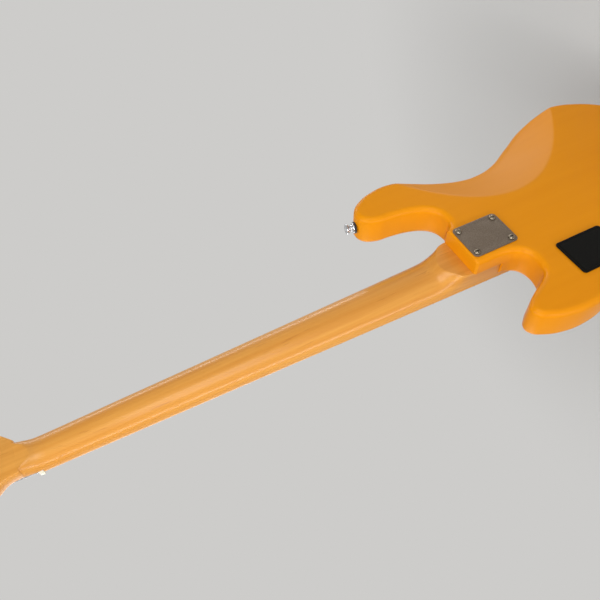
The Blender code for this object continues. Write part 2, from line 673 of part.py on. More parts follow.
def worm_thread(name, centre, frame):
    """The worm's thread, one gear tooth to a turn; it crosses the gear's middle where the gear has a gap."""
    curve = bpy.data.curves.new(name, "CURVE")
    curve.dimensions = "3D"
    curve.bevel_depth = 0.00052
    curve.bevel_resolution = 0
    curve.use_fill_caps = True
    pitch = 2 * math.pi * (GEAR_TIP - 0.00035) / GEAR_TEETH
    radius = WORM_OUTER - curve.bevel_depth
    turns = 3
    steps = 8
    spline = curve.splines.new("POLY")
    spline.points.add(turns * steps)
    for step, point in enumerate(spline.points):
        angle = 2 * math.pi * (step / steps - turns / 2)
        point.co = (pitch * angle / (2 * math.pi), -radius * math.sin(angle), -radius * math.cos(angle), 1)
    drawn = bpy.data.objects.new(name, curve)
    CUTTERS.objects.link(drawn)
    mesh = curve_mesh(name, drawn)
    bpy.data.objects.remove(drawn, do_unlink=True)
    return place(name, mesh, None, CUTTERS, centre, (0, 0, 0), frame)


def make_string(name):
    """One string: turns on its post, nut, saddle and the ball behind the bridge."""
    radius = STRING_RADIUS[name]
    x_post, z_post = post_place(name)
    ring = wind_radius(name)
    low = 0.0030
    step_per_turn = 2 * radius + WIND_STEP_GAP
    steps = 14
    turns = []
    for step in range(WIND_TURNS * steps, -1, -1):
        angle = 2 * math.pi * step / steps
        turns.append((x_post + ring * math.cos(angle), low - step_per_turn * step / steps,
                      z_post + ring * math.sin(angle)))
    points = list(turns)
    if name in GUIDED_STRINGS:
        # The guide holds the string straight from one edge of its head to the other
        for z in (TREE_PLACE[1] + TREE_RADIUS, TREE_PLACE[1] - TREE_RADIUS):
            points.append((string_x(name, z), TREE_UNDER + GAP + radius, z))
    saddle_z = SADDLE_Z[name]
    for z in (0.0056, 0.0, saddle_z, saddle_z - 0.0040):
        points.append((string_x(name, z), string_y(name, min(z, 0.0)), z))
    x = string_x(name, saddle_z)
    for behind in (0.004, -0.0005, -0.0006, -0.0052):
        points.append((x, STRING_HOLE_Y, BRIDGE_REAR_Z + behind))
    ball = BALL_RADIUS / radius
    radii = [1.0] * (len(points) - 2) + [ball, ball]
    tube(f"string_{name}", points, radius, STEEL if name == PLAIN_STRING else NICKEL_WIND, radii)
    return least_gap(turns, radius, steps)


def least_gap(points, radius, steps):
    """Least distance between the surfaces of turns that lie side by side."""
    least = 1.0
    for i, here in enumerate(points):
        for there in points[i + steps // 2:]:
            least = min(least, (Vector(here) - Vector(there)).length - 2 * radius)
    return least


def pickup_outline(half, centre_z, grow=0.0):
    """A long narrow cover with four screw ears, two on each long side."""
    wide = PICKUP_WIDE + grow
    half += grow
    ear = EAR_RADIUS + grow
    points = []
    for side in (1, -1):
        edge = centre_z + side * wide
        run = []
        for ear_x in (half - EAR_INSET, -half + EAR_INSET):
            for step in range(EAR_STEPS + 1):
                angle = math.pi * step / EAR_STEPS
                run.append((ear_x + ear * math.cos(angle), edge + side * ear * math.sin(angle)))
        if side == 1:
            points += [(half, edge)] + run + [(-half, edge)]
        else:
            points += [(-half, edge)] + run[::-1] + [(half, edge)]
    return points


def make_pickup(name, half, centre_z, top_y):
    """Single-coil pickup with two pole pieces under each string."""
    pickup = slab(f"pickup_{name}", pickup_outline(half, centre_z), top_y, 0.0300, BLACK, PARTS)
    for string in STRING_NAMES:
        for number, side in enumerate((-1, 1)):
            x = string_x(string, centre_z) + side * POLE_SPREAD
            pole = rod(f"pole_{name}_{string}_{number}", (x, top_y - 0.0008, centre_z),
                       (x, top_y + 0.004, centre_z), POLE_RADIUS, 8)
            boolean(pickup, pole, "UNION")


def make_guard():
    """Pickguard round the neck's end and the neck pickup."""
    guard = slab("pickguard", GUARD_OUTLINE, 0.0068, FRONT_Y - GAP, GUARD, PARTS, smooth=2)
    boolean(guard, slab("guard_notch", pocket_outline(0.0006), 0.0, 0.02))
    # The guard stays on the body beside the pocket, clear of the cutaways
    boolean(guard, block("guard_treble_edge", (0.028, 0.0, -0.606), (0.045, 0.02, POCKET_MOUTH)))
    hollow = pickup_outline(NECK_PICKUP_HALF, NECK_PICKUP_Z, 0.0008)
    boolean(guard, slab("guard_pickup", hollow, 0.0, 0.02))


def on_control(reach):
    """A place on the control plate, by its distance up the plate's middle line."""
    return (CONTROL_CENTRE[0] - reach * math.sin(CONTROL_TILT),
            CONTROL_CENTRE[1] + reach * math.cos(CONTROL_TILT))


def make_controls():
    """Control plate, preamp with its three pots, knobs and the output jack."""
    plate_back = FRONT_Y - GAP
    plate_front = plate_back - 0.0013
    outline = rounded(CONTROL_SIZE[0], CONTROL_SIZE[1], 0.0150, CONTROL_CENTRE, 4, CONTROL_TILT)
    plate = slab("control_plate", outline, plate_front, plate_back, CHROME, PARTS)
    bushing_r = 0.0044
    for name, reach in CONTROL_PLACES.items():
        x, z = on_control(reach)
        radius = bushing_r + GAP if name != "jack" else 0.0051
        boolean(plate, rod(f"control_hole_{name}", (x, 0.0, z), (x, 0.02, z), radius, 10))

    board_outline = rounded(0.024, 0.112, 0.002, on_control(0.016), 1, CONTROL_TILT)
    board = slab("preamp", board_outline, 0.0230, 0.0246, BOARD, PARTS)
    bore_r = 0.0033
    for name in ("volume", "balance", "tone"):
        x, z = on_control(CONTROL_PLACES[name])
        for part, radius, front, back, sides in (("case", 0.0082, plate_back + GAP, 0.0235, 12),
                                                 ("bushing", bushing_r, 0.0050, 0.0120, 8),
                                                 ("nut", 0.0064, 0.0056, plate_front - GAP, 6)):
            boolean(board, rod(f"pot_{part}_{name}", (x, front, z), (x, back, z), radius, sides), "UNION")
        boolean(board, rod(f"pot_bore_{name}", (x, 0.0, z), (x, 0.0200, z), bore_r, 8))

    knob_low = plate_front - 0.0005
    for name in ("volume", "balance"):
        x, z = on_control(CONTROL_PLACES[name])
        profile = [(0.0, 0.0155), (0.0055, 0.0152), (0.0078, 0.0143), (0.0090, 0.0120), (0.0096, 0.0),
                   (0.0076, 0.0), (0.0076, 0.0038), (0.0030, 0.0038), (0.0030, -0.0105), (0.0, -0.0105)]
        knob = turned(f"knob_{name}", profile, (x, knob_low, z), (0, -1, 0), CHROME, 12)
        boolean(knob, block(f"mark_{name}", (x - 0.0005, knob_low - 0.02, z + 0.0030),
                            (x + 0.0005, knob_low - 0.0146, z + 0.02)))

    x, z = on_control(CONTROL_PLACES["tone"])
    ring = [(0.0105, 0.0078), (0.0110, 0.0060), (0.0110, 0.0), (0.0078, 0.0), (0.0078, 0.0038),
            (0.0030, 0.0038), (0.0030, -0.0050), (0.0019, -0.0050), (0.0019, 0.0078)]
    turned("knob_bass", ring, (x, knob_low, z), (0, -1, 0), CHROME, 12, closed=True)
    cap = [(0.0, 0.0172), (0.0055, 0.0169), (0.0072, 0.0160), (0.0080, 0.0140), (0.0082, 0.0081),
           (0.0016, 0.0081), (0.0016, -0.0105), (0.0, -0.0105)]
    treble = turned("knob_treble", cap, (x, knob_low, z), (0, -1, 0), CHROME, 12)
    boolean(treble, block("mark_treble", (x - 0.0005, knob_low - 0.03, z + 0.0030),
                          (x + 0.0005, knob_low - 0.0163, z + 0.02)))

    x, z = on_control(CONTROL_PLACES["jack"])
    jack = [(0.0047, 0.0020), (0.0047, -0.0021), (0.0074, -0.0021), (0.0074, -0.0240), (0.0033, -0.0240),
            (0.0033, 0.0020)]
    socket = turned("output_jack", jack, (x, plate_front, z), (0, -1, 0), CHROME, 12, closed=True)
    nut = turned("jack_nut", [(0.0070, 0.0019), (0.0070, GAP), (0.0040, GAP), (0.0040, 0.0019)],
                 (x, plate_front, z), (0, -1, 0), None, 6, CUTTERS, closed=True)
    boolean(socket, nut, "UNION")


def make_bridge():
    """Bent steel plate with its intonation screws, four barrel saddles on legs, and springs."""
    plate_back = FRONT_Y - GAP
    plate_front = plate_back - BRIDGE_THICK
    base = rounded(2 * BRIDGE_HALF, BRIDGE_FRONT_Z - BRIDGE_REAR_Z, 0.0030,
                   (0, (BRIDGE_FRONT_Z + BRIDGE_REAR_Z) / 2), 2)
    plate = slab("bridge_plate", base, plate_front, plate_back, CHROME, PARTS)
    wall = block("bridge_wall", (-BRIDGE_HALF + 0.001, -0.0080, BRIDGE_REAR_Z),
                 (BRIDGE_HALF - 0.001, plate_back, BRIDGE_REAR_Z + BRIDGE_WALL))
    boolean(plate, wall, "UNION")
    least = 1.0
    for name in STRING_NAMES:
        saddle_z = SADDLE_Z[name]
        x = string_x(name, saddle_z)
        hole = rod(f"string_hole_{name}", (x, STRING_HOLE_Y, BRIDGE_REAR_Z - 0.01),
                   (x, STRING_HOLE_Y, BRIDGE_REAR_Z + 0.01), STRING_RADIUS[name] + GAP, 10)
        boolean(plate, hole)
        profile = [(0.0, 0.0430), (0.0015, 0.0425), (0.0015, 0.0), (0.0022, 0.0), (0.0022, -0.0014),
                   (0.0012, -0.0022), (0.0, -0.0022)]
        screw = turned(f"intonation_screw_{name}", profile, (x, SCREW_Y, BRIDGE_REAR_Z - 0.0001), (0, 0, 1),
                       None, 8, CUTTERS)
        boolean(plate, screw, "UNION")
        make_saddle(name, x, saddle_z, plate_front)
        least = min(least, make_spring(name, x, saddle_z))
    return least


def make_saddle(name, x, z, plate_front):
    """Barrel with a string groove, standing on two height screws."""
    profile = [(0.0, SADDLE_HALF), (SADDLE_R, SADDLE_HALF), (SADDLE_R, 0.0022), (GROOVE_R, 0.0014),
               (GROOVE_R, -0.0014), (SADDLE_R, -0.0022), (SADDLE_R, -SADDLE_HALF), (0.0, -SADDLE_HALF)]
    saddle = turned(f"saddle_{name}", profile, (x, SADDLE_Y, z), (1, 0, 0), CHROME, 10)
    for number, side in enumerate((-1, 1)):
        leg_x = x + side * 0.0058
        leg = rod(f"saddle_leg_{name}_{number}", (leg_x, SADDLE_Y - SADDLE_R + 0.0012, z),
                  (leg_x, plate_front - GAP, z), 0.0014, 6)
        boolean(saddle, leg, "UNION")
    bore = rod(f"saddle_bore_{name}", (x, SCREW_Y, z - 0.01), (x, SCREW_Y, z + 0.01), 0.0018, 8)
    boolean(saddle, bore)


def make_spring(name, x, saddle_z):
    """Coil spring on the intonation screw, between the bridge's wall and the saddle."""
    low = BRIDGE_REAR_Z + BRIDGE_WALL + GAP + SPRING_WIRE
    high = saddle_z - SADDLE_R - GAP - SPRING_WIRE
    steps = 8
    points = []
    for step in range(SPRING_TURNS * steps + 1):
        angle = 2 * math.pi * step / steps
        points.append((x + SPRING_RING * math.cos(angle), SCREW_Y + SPRING_RING * math.sin(angle),
                       mix(low, high, step / (SPRING_TURNS * steps))))
    tube(f"saddle_spring_{name}", points, SPRING_WIRE, STEEL)
    return least_gap(points, SPRING_WIRE, steps)


def make_neck_joint():
    """Neck plate and the four screws that pull the neck into its pocket."""
    low = BACK_Y + GAP
    outline = rounded(*PLATE_SIZE, PLATE_CORNER, PLATE_CENTRE, 3)
    plate = slab("neck_plate", outline, low, low + PLATE_THICK, SATIN, PARTS)
    bevel(plate, 0.0004, 1)
    for number, (x, z) in enumerate(neck_screw_places()):
        boolean(plate, rod(f"plate_hole_{number}", (x, 0.0, z), (x, 0.08, z), 0.0028, 10))
        seat_y = low + PLATE_THICK + GAP
        profile = [(0.0, 0.0024), (0.0018, 0.0022), (0.0034, 0.0014), (0.0043, 0.0), (0.0023, 0.0),
                   (0.0023, -0.0400), (0.0, -0.0440)]
        turned(f"neck_screw_{number + 1}", profile, (x, seat_y, z), (0, 1, 0), CHROME, 10)


def make_strap_buttons():
    """Two flanged strap buttons with their screws, on felt washers."""
    for name in STRAPS:
        base, axis = strap_place(name)
        felt = [(0.0076, 0.0024), (0.0076, 0.0004), (0.0028, 0.0004), (0.0028, 0.0024)]
        turned(f"strap_felt_{name}", felt, base, axis, FELT, 12, closed=True)
        button = [(0.0, 0.0136), (0.0062, 0.0132), (0.0073, 0.0122), (0.0070, 0.0108), (0.0038, 0.0085),
                  (0.0037, 0.0058), (0.0068, 0.0038), (0.0068, 0.0027), (0.0020, 0.0027), (0.0020, -0.0230),
                  (0.0, -0.0250)]
        turned(f"strap_button_{name}", button, base, axis, CHROME, 10)


def make_battery_box():
    """Moulded box let into the back, its hinged lid, and two nine-volt batteries on edge."""
    cx, cz = BATTERY_CENTRE
    top = BACK_Y + FLANGE_PROUD
    box = slab("battery_box", rounded(*FLANGE, 0.0040, BATTERY_CENTRE, 3), BACK_Y + GAP, top, BLACK, PARTS)
    bevel(box, 0.0005, 1)
    for name, inset, front, back in (("collar", 0.0040, 0.0518, 0.0550), ("well", 0.0080, 0.0245, 0.0530)):
        outline = rounded(FLANGE[0] - inset, FLANGE[1] - inset, 0.0030, BATTERY_CENTRE, 2)
        boolean(box, slab(f"box_{name}", outline, front, back), "UNION")
    recess_x = FLANGE[0] / 2 - 0.0028
    recess_z = FLANGE[1] / 2 - 0.0028
    boolean(box, block("lid_recess", (cx - recess_x, LID_LEDGE, cz - recess_z),
                       (cx + recess_x, 0.060, cz + recess_z)))
    outline = rounded(FLANGE[0] - 0.0110, FLANGE[1] - 0.0110, 0.0020, BATTERY_CENTRE, 1)
    boolean(box, slab("box_inside", outline, 0.0260, 0.060))
    lid_half_x = FLANGE[0] / 2 - 0.0032
    lid_half_z = FLANGE[1] / 2 - 0.0032
    lid_low = LID_LEDGE + GAP
    hinge_y = (lid_low + top - 0.0001) / 2
    thick = top - 0.0001 - lid_low
    hinge_z = cz + lid_half_z - thick / 2
    boolean(box, rod("hinge_socket", (cx - lid_half_x - 0.0020, hinge_y, hinge_z),
                     (cx + lid_half_x + 0.0020, hinge_y, hinge_z), 0.0010, 10))
    lid = block("battery_lid", (-lid_half_x, -thick / 2, -2 * lid_half_z + thick / 2),
                (lid_half_x, thick / 2, 0.0), BLACK, PARTS)
    lid.location = Vector(lid.location) + Vector((cx, hinge_y, hinge_z))
    boolean(lid, rod("lid_knuckle", (cx - lid_half_x, hinge_y, hinge_z), (cx + lid_half_x, hinge_y, hinge_z),
                     thick / 2, 16), "UNION")
    boolean(lid, rod("lid_trunnion", (cx - lid_half_x - 0.0012, hinge_y, hinge_z),
                     (cx + lid_half_x + 0.0012, hinge_y, hinge_z), 0.0007, 10), "UNION")
    notch_z = cz - lid_half_z - 0.0040
    notch = rod("finger_notch", (cx, hinge_y - 0.01, notch_z), (cx, hinge_y + 0.01, notch_z), 0.0070, 18)
    boolean(lid, notch)
    for number, side in enumerate((-1, 1)):
        x = cx + side * 0.0093
        low = (x - 0.00875, 0.0263, cz - 0.0240)
        cell = block(f"battery_{number + 1}", low, (x + 0.00875, 0.0527, cz + 0.0220), CELL, PARTS)
        bevel(cell, 0.0010, 1)
        for stud, (y, radius) in enumerate(((0.0330, 0.0034), (0.0460, 0.0027))):
            terminal = rod(f"stud_{number}_{stud}", (x, y, cz + 0.0210), (x, y, cz + 0.0245), radius, 10)
            boolean(cell, terminal, "UNION")
    return (cx, hinge_y, hinge_z)


make_body()
make_neck()
make_fretboard()
make_nut()
make_truss_rod()
make_string_tree()
first_x, first_z = post_place("E")
last_x, last_z = post_place("G")
head_tilt = math.atan2(last_x - first_x, last_z - first_z)
for string in STRING_NAMES:
    make_tuner(string, head_tilt)
gaps = {string: make_string(string) for string in STRING_NAMES}
make_pickup("neck", NECK_PICKUP_HALF, NECK_PICKUP_Z, -0.0004)
make_pickup("bridge", BRIDGE_PICKUP_HALF, BRIDGE_PICKUP_Z, -0.0008)
make_guard()
make_controls()
spring_gap = make_bridge()
make_neck_joint()
make_strap_buttons()
hinge = make_battery_box()

print("least gap between a string's turns, mm:", {name: round(gap * 1000, 3) for name, gap in gaps.items()})
print("least gap between a spring's curls, mm:", round(spring_gap * 1000, 3))
print("lid hinge:", [round(value, 5) for value in hinge])
seat_turn = Matrix.Rotation(head_tilt, 3, "Y")
key_axis = seat_turn @ Vector((1, 0, 0))
print("key axis:", [round(v, 5) for v in key_axis])
for string in STRING_NAMES:
    x, z = post_place(string)
    worm = Vector((x, HEAD_BACK, z)) + seat_turn @ Vector((0, GEAR_MID, WORM_OFFSET))
    print("post", string, [round(x, 5), HEAD_BACK, round(z, 5)], "worm", [round(v, 5) for v in worm])
for control, reach in CONTROL_PLACES.items():
    print("control", control, [round(value, 5) for value in on_control(reach)])
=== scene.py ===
# %% [markdown]
# A four-string electric bass guitar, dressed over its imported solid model.
# The solid model is the frame: it holds every size, joint and place. This script gives each piece
# the fine shape and the finish of the real thing, one piece to a cell, from the body outwards.
# Metres; +Z runs up the neck, the strings face -Y, and the bass side is -X.

# %% Load the frame
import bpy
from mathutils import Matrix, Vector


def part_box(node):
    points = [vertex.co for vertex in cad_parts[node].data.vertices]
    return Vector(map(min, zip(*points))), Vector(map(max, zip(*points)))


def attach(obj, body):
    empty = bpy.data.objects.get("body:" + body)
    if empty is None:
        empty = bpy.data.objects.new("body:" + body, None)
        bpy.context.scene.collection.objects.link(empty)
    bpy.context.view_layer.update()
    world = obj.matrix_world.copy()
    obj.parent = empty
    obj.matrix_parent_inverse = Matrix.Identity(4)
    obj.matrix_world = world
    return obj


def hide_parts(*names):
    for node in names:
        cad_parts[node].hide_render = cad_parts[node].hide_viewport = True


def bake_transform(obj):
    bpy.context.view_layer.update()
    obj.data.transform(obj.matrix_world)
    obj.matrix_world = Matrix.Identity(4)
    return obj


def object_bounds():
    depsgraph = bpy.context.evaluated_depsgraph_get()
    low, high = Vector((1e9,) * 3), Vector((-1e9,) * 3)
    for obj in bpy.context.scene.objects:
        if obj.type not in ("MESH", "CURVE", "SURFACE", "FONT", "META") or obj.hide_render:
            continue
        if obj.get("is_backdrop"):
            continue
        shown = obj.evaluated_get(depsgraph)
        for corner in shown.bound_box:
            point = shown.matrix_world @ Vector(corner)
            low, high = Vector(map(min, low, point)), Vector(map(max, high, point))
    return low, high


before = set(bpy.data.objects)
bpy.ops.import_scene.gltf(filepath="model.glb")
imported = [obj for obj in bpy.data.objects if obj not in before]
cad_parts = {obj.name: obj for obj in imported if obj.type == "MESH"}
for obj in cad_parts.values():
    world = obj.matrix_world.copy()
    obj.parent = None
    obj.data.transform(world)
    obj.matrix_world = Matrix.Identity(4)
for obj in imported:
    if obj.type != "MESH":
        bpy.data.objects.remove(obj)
cad_low, cad_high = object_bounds()
print("solid model's box, m:", [round(v, 4) for v in (*cad_low, *cad_high)])

# %% [markdown]
# The camera stands where the photographer stood: behind the bass, on the treble side, a little below
# the nut and tipped well over, so that the neck runs from the lower left to the right. The place and
# the two image directions were solved from the neck plate, its screws and the neck's edges.
# A camera could be turned by eye, but three known directions give it exactly.

# %% Camera
from math import atan2, copysign, cos, degrees, hypot, pi, radians, sin, sqrt

import bmesh
import bpy
from mathutils import Matrix, Vector

CAMERA_PLACE = Vector((0.36454, 0.60224, -0.14483))
IMAGE_RIGHT = Vector((0.453, -0.0321, -0.8909)).normalized()
IMAGE_UP = Vector((-0.6983, 0.6084, -0.377))
IMAGE_WIDTH = 600
FOCAL_PIXELS = 605

bpy.ops.object.camera_add()
camera = bpy.context.object
camera.name = "photo_camera"
up = (IMAGE_UP - IMAGE_RIGHT * IMAGE_UP.dot(IMAGE_RIGHT)).normalized()
axes = Matrix((IMAGE_RIGHT, up, IMAGE_RIGHT.cross(up))).transposed()
camera.matrix_world = Matrix.Translation(CAMERA_PLACE) @ axes.to_4x4()
camera.data.lens = camera.data.sensor_width * FOCAL_PIXELS / IMAGE_WIDTH
camera.data.clip_start = 0.02
bpy.context.scene.camera = camera
print("lens, mm:", round(camera.data.lens, 2))

# %% [markdown]
# Materials are graphs of nodes, and their sums are easier to read as Python. This class wraps one
# socket, so that `grain * 0.3 + 0.5` adds the Math nodes for it. Every other node comes from `node`,
# which sets the node's own settings first and then its sockets, by name or by number.

# %% Shader sockets as Python values
class Flow:
    """One output socket of a node tree."""

    def __init__(self, tree, socket=None):
        self.tree = tree
        self.socket = socket

    def node(self, kind, sockets=None, output=0, **settings):
        made = self.tree.nodes.new(kind)
        for name, value in settings.items():
            setattr(made, name, value)
        for name, value in (sockets or {}).items():
            if isinstance(value, Flow):
                self.tree.links.new(value.socket, made.inputs[name])
            else:
                made.inputs[name].default_value = value
        return Flow(self.tree, made.outputs[output])

    def math(self, operation, first, second=0.0):
        return self.node("ShaderNodeMath", {0: first, 1: second}, operation=operation)

    def __add__(self, other):
        return self.math("ADD", self, other)

    def __mul__(self, other):
        return self.math("MULTIPLY", self, other)

    def between(self, low, high):
        """0 below low, 1 above high, smooth in between."""
        return self.node("ShaderNodeMapRange", {"Value": self, "From Min": low, "From Max": high},
                         interpolation_type="SMOOTHSTEP")

    def blend(self, first, second):
        """Mix two colours by this value."""
        return self.node("ShaderNodeMix", {0: self, 6: first, 7: second}, output=2, data_type="RGBA")

    def stretched(self, scale):
        """Object coordinates, scaled by one number or along each axis."""
        place = self.node("ShaderNodeTexCoord", output=3)
        scale = scale if isinstance(scale, tuple) else (scale, scale, scale)
        return self.node("ShaderNodeMapping", {"Vector": place, "Scale": scale})

    def noise(self, scale, detail=3.0, rough=0.5):
        """A noise value from 0 to 1; scale is its frequency, in waves a metre."""
        return self.node("ShaderNodeTexNoise", {"Vector": self.stretched(scale), "Scale": 1.0,
                                                "Detail": detail, "Roughness": rough})


def linear(red, green, blue):
    """A colour read as 0 to 255 on screen, in the linear values that shaders use."""
    values = [value / 255 for value in (red, green, blue)]
    return tuple(v / 12.92 if v <= 0.04045 else ((v + 0.055) / 1.055) ** 2.4 for v in values)


def rgba(red, green, blue):
    return (*linear(red, green, blue), 1.0)


def new_finish(name, bump=None, bump_height=0.0001, **sockets):
    """A Principled material. Its sockets take numbers, colours, or functions of a Flow."""
    material = bpy.data.materials.new(name)
    material.use_nodes = True
    shader = material.node_tree.nodes["Principled BSDF"]
    flow = Flow(material.node_tree)
    for socket, value in sockets.items():
        made = value(flow) if callable(value) else value
        target = shader.inputs[socket.replace("_", " ")]
        if isinstance(made, Flow):
            material.node_tree.links.new(made.socket, target)
        else:
            target.default_value = made
    if bump:
        normal = flow.node("ShaderNodeBump", {"Height": bump(flow), "Distance": bump_height})
        material.node_tree.links.new(normal.socket, shader.inputs["Normal"])
    return material


# %% [markdown]
# The bass hangs upright over a plain pale floor, which fades into a pale world, so that no horizon
# shows. Seven soft lamps light it. The key and a second lamp stand high up, for the bright side walls
# of the photograph, and one behind the back lights its flats. Two tall strips, one on each side, draw
# the long lines along the neck's edges. A small panel just over the floor is what the belly contour
# mirrors to the camera; its beam is narrow, so that it leaves the floor alone. One lights the front.

# %% Floor, world and lamps
PALE = linear(205, 204, 202)
FLOOR_DROP = 0.06
FLOOR_RADIUS = 8.0
FLOOR_FADE = (0.2, 1.1)
WORLD_LIGHT = 0.26

bpy.ops.mesh.primitive_circle_add(vertices=64, radius=FLOOR_RADIUS, fill_type="NGON",
                                  location=(0, 0, cad_low.z - FLOOR_DROP))
floor = bpy.context.object
floor.name = "studio_floor"
floor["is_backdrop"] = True

paper = bpy.data.materials.new("pale_paper")
paper.use_nodes = True
flow = Flow(paper.node_tree)
near = paper.node_tree.nodes["Principled BSDF"]
near.inputs["Roughness"].default_value = 0.9
tone = flow.noise(1.2, 2.0) * 0.03 + 1.0
shade = flow.node("ShaderNodeVectorMath", {0: (*PALE,), "Scale": tone}, operation="SCALE")
paper.node_tree.links.new(shade.socket, near.inputs["Base Color"])
far = flow.node("ShaderNodeEmission", {"Color": (*PALE, 1.0), "Strength": 1.0})
reach = flow.node("ShaderNodeVectorMath", {0: flow.stretched((1, 1, 0))}, output=1, operation="LENGTH")
cover = flow.node("ShaderNodeMixShader", {0: reach.between(*FLOOR_FADE), 2: far})
paper.node_tree.links.new(near.outputs["BSDF"], cover.socket.node.inputs[1])
paper.node_tree.links.new(cover.socket, paper.node_tree.nodes["Material Output"].inputs["Surface"])
floor.data.materials.append(paper)

world = bpy.data.worlds.new("pale_studio")
bpy.context.scene.world = world
world.use_nodes = True
sky = Flow(world.node_tree)
rays = world.node_tree.nodes.new("ShaderNodeLightPath")
camera_ray = Flow(world.node_tree, rays.outputs["Is Camera Ray"])
glossy_ray = Flow(world.node_tree, rays.outputs["Is Glossy Ray"])
clear_ray = Flow(world.node_tree, rays.outputs["Is Transmission Ray"])
seen = sky.math("MINIMUM", camera_ray + glossy_ray + clear_ray, 1.0)
lit = sky.node("ShaderNodeBackground", {"Color": (*PALE, 1.0), "Strength": WORLD_LIGHT})
shown = sky.node("ShaderNodeBackground", {"Color": (*PALE, 1.0), "Strength": 1.0})
both = sky.node("ShaderNodeMixShader", {0: seen, 1: lit, 2: shown})
world.node_tree.links.new(both.socket, world.node_tree.nodes["World Output"].inputs["Surface"])

BODY_MIDDLE = Vector((0.0, 0.03, -0.58))
# Place, width, height, watts and the beam's angle
LAMPS = {
    "key_above_treble": ((1.15, 0.6, 0.95), 0.9, 0.9, 12.5, 180),
    "top_soft": ((0.2, 0.5, 1.4), 0.8, 0.8, 11.0, 180),
    "back_soft": ((0.25, 0.95, -0.22), 0.5, 0.5, 3.0, 180),
    "bass_side_strip": ((-1.4, 0.25, -0.55), 0.16, 2.6, 9.5, 180),
    "treble_side_strip": ((1.2, 0.35, -0.75), 0.16, 2.2, 10.5, 180),
    "belly_panel": ((-0.5, 0.27, -0.93), 0.15, 0.15, 0.078, 90),
    "front_soft": ((0.3, -1.9, -0.1), 1.4, 1.4, 16.0, 180),
}
for name, (place, width, height, watts, beam) in LAMPS.items():
    bpy.ops.object.light_add(type="AREA", location=place)
    lamp = bpy.context.object
    lamp.name = name
    lamp.data.shape = "RECTANGLE"
    lamp.data.size = width
    lamp.data.size_y = height
    lamp.data.energy = watts
    lamp.data.spread = radians(beam)
    lamp.visible_camera = False
    lamp.rotation_euler = (BODY_MIDDLE - Vector(place)).to_track_quat("-Z", "Y").to_euler()
bpy.context.scene.view_settings.view_transform = "Standard"
print("lamps:", len(LAMPS), "floor at", round(floor.location.z, 3))

# %% [markdown]
# The finishes. The body's butterscotch lacquer is translucent over ash, so its grain shows only as
# faint long streaks; polishing leaves a slightly uneven gloss and a trace of orange peel. The neck is
# maple under an amber lacquer, with fine long grain and short dark flecks. Both have a clear coat.
# Noise on object coordinates, stretched along the neck, makes streaks that run through the wood.

# %% Wood finishes
def lacquer_colour(flow):
    grain = flow.noise((90, 40, 5), 4.0)
    cloud = flow.noise((5, 5, 3), 2.0)
    shade = grain * 0.35 + cloud * 0.65
    return shade.between(0.25, 0.75).blend(rgba(226, 139, 8), rgba(232, 147, 12))


def maple_colour(flow):
    streaks = flow.noise((160, 160, 3.5), 4.0, 0.6)
    bands = flow.noise((35, 35, 1.2), 2.0)
    shade = (streaks * 0.5 + bands * 0.5).between(0.3, 0.7)
    base = shade.blend(rgba(212, 141, 52), rgba(230, 165, 76))
    flecks = flow.noise((420, 420, 30), 2.0).between(0.66, 0.74)
    return (flecks * 0.35).blend(base, rgba(178, 108, 42))


LACQUER = new_finish(
    "butterscotch_lacquer_coat", bump=lambda f: f.noise(260, 2.0), bump_height=0.00002,
    Base_Color=lacquer_colour, Roughness=lambda f: f.noise((30, 30, 12), 3.0) * 0.12 + 0.3,
    Specular_IOR_Level=0.1, Coat_Weight=0.03, Coat_Roughness=0.2)
MAPLE = new_finish(
    "amber_maple_coat", bump=lambda f: f.noise((300, 300, 8), 3.0), bump_height=0.00003,
    Base_Color=maple_colour, Roughness=lambda f: f.noise((60, 60, 6), 3.0) * 0.14 + 0.26,
    Specular_IOR_Level=0.3, Coat_Weight=0.2, Coat_Roughness=0.16)
print("wood finishes made")

# %% [markdown]
# Metal and plastic. The neck plate is bead-blasted and then nickel plated, so it is grey, dull and
# speckled; screws, tuners and bridge are polished chrome with faint polishing marks. The small screws'
# base colour is painted darker and browner than the chrome: a painted dark reflection. The battery box
# is moulded black plastic with a fine grain. None of them is one flat value: roughness and bump vary.

# %% Metal and plastic finishes
WRAP_PITCH = 0.00045


def uneven(low, high, scale, detail=3.0):
    """A value that wanders between two numbers."""
    return lambda flow: flow.noise(scale, detail) * (high - low) + low


def two_tone(dark, light, scale, detail=3.0):
    """A colour that wanders between two close tones."""
    return lambda flow: flow.noise(scale, detail).between(0.35, 0.65).blend(rgba(*dark), rgba(*light))


def fine_finish(name, bump, tones, rough, detail=3.0, **others):
    """A finish from bumps (height, scale), tones (dark, light, scale) and roughness (low, high, scale)."""
    return new_finish(name, bump=uneven(0, 1, bump[1], detail), bump_height=bump[0],
                      Base_Color=two_tone(*tones), Roughness=uneven(*rough), **others)


def wound_ridges(flow):
    """Ridges of the wrap wire along the string."""
    place = flow.node("ShaderNodeTexCoord", output=3)
    height = flow.node("ShaderNodeSeparateXYZ", {0: place}, output=2)
    return flow.math("SINE", height * (2 * pi / WRAP_PITCH)) * 0.5 + 0.5


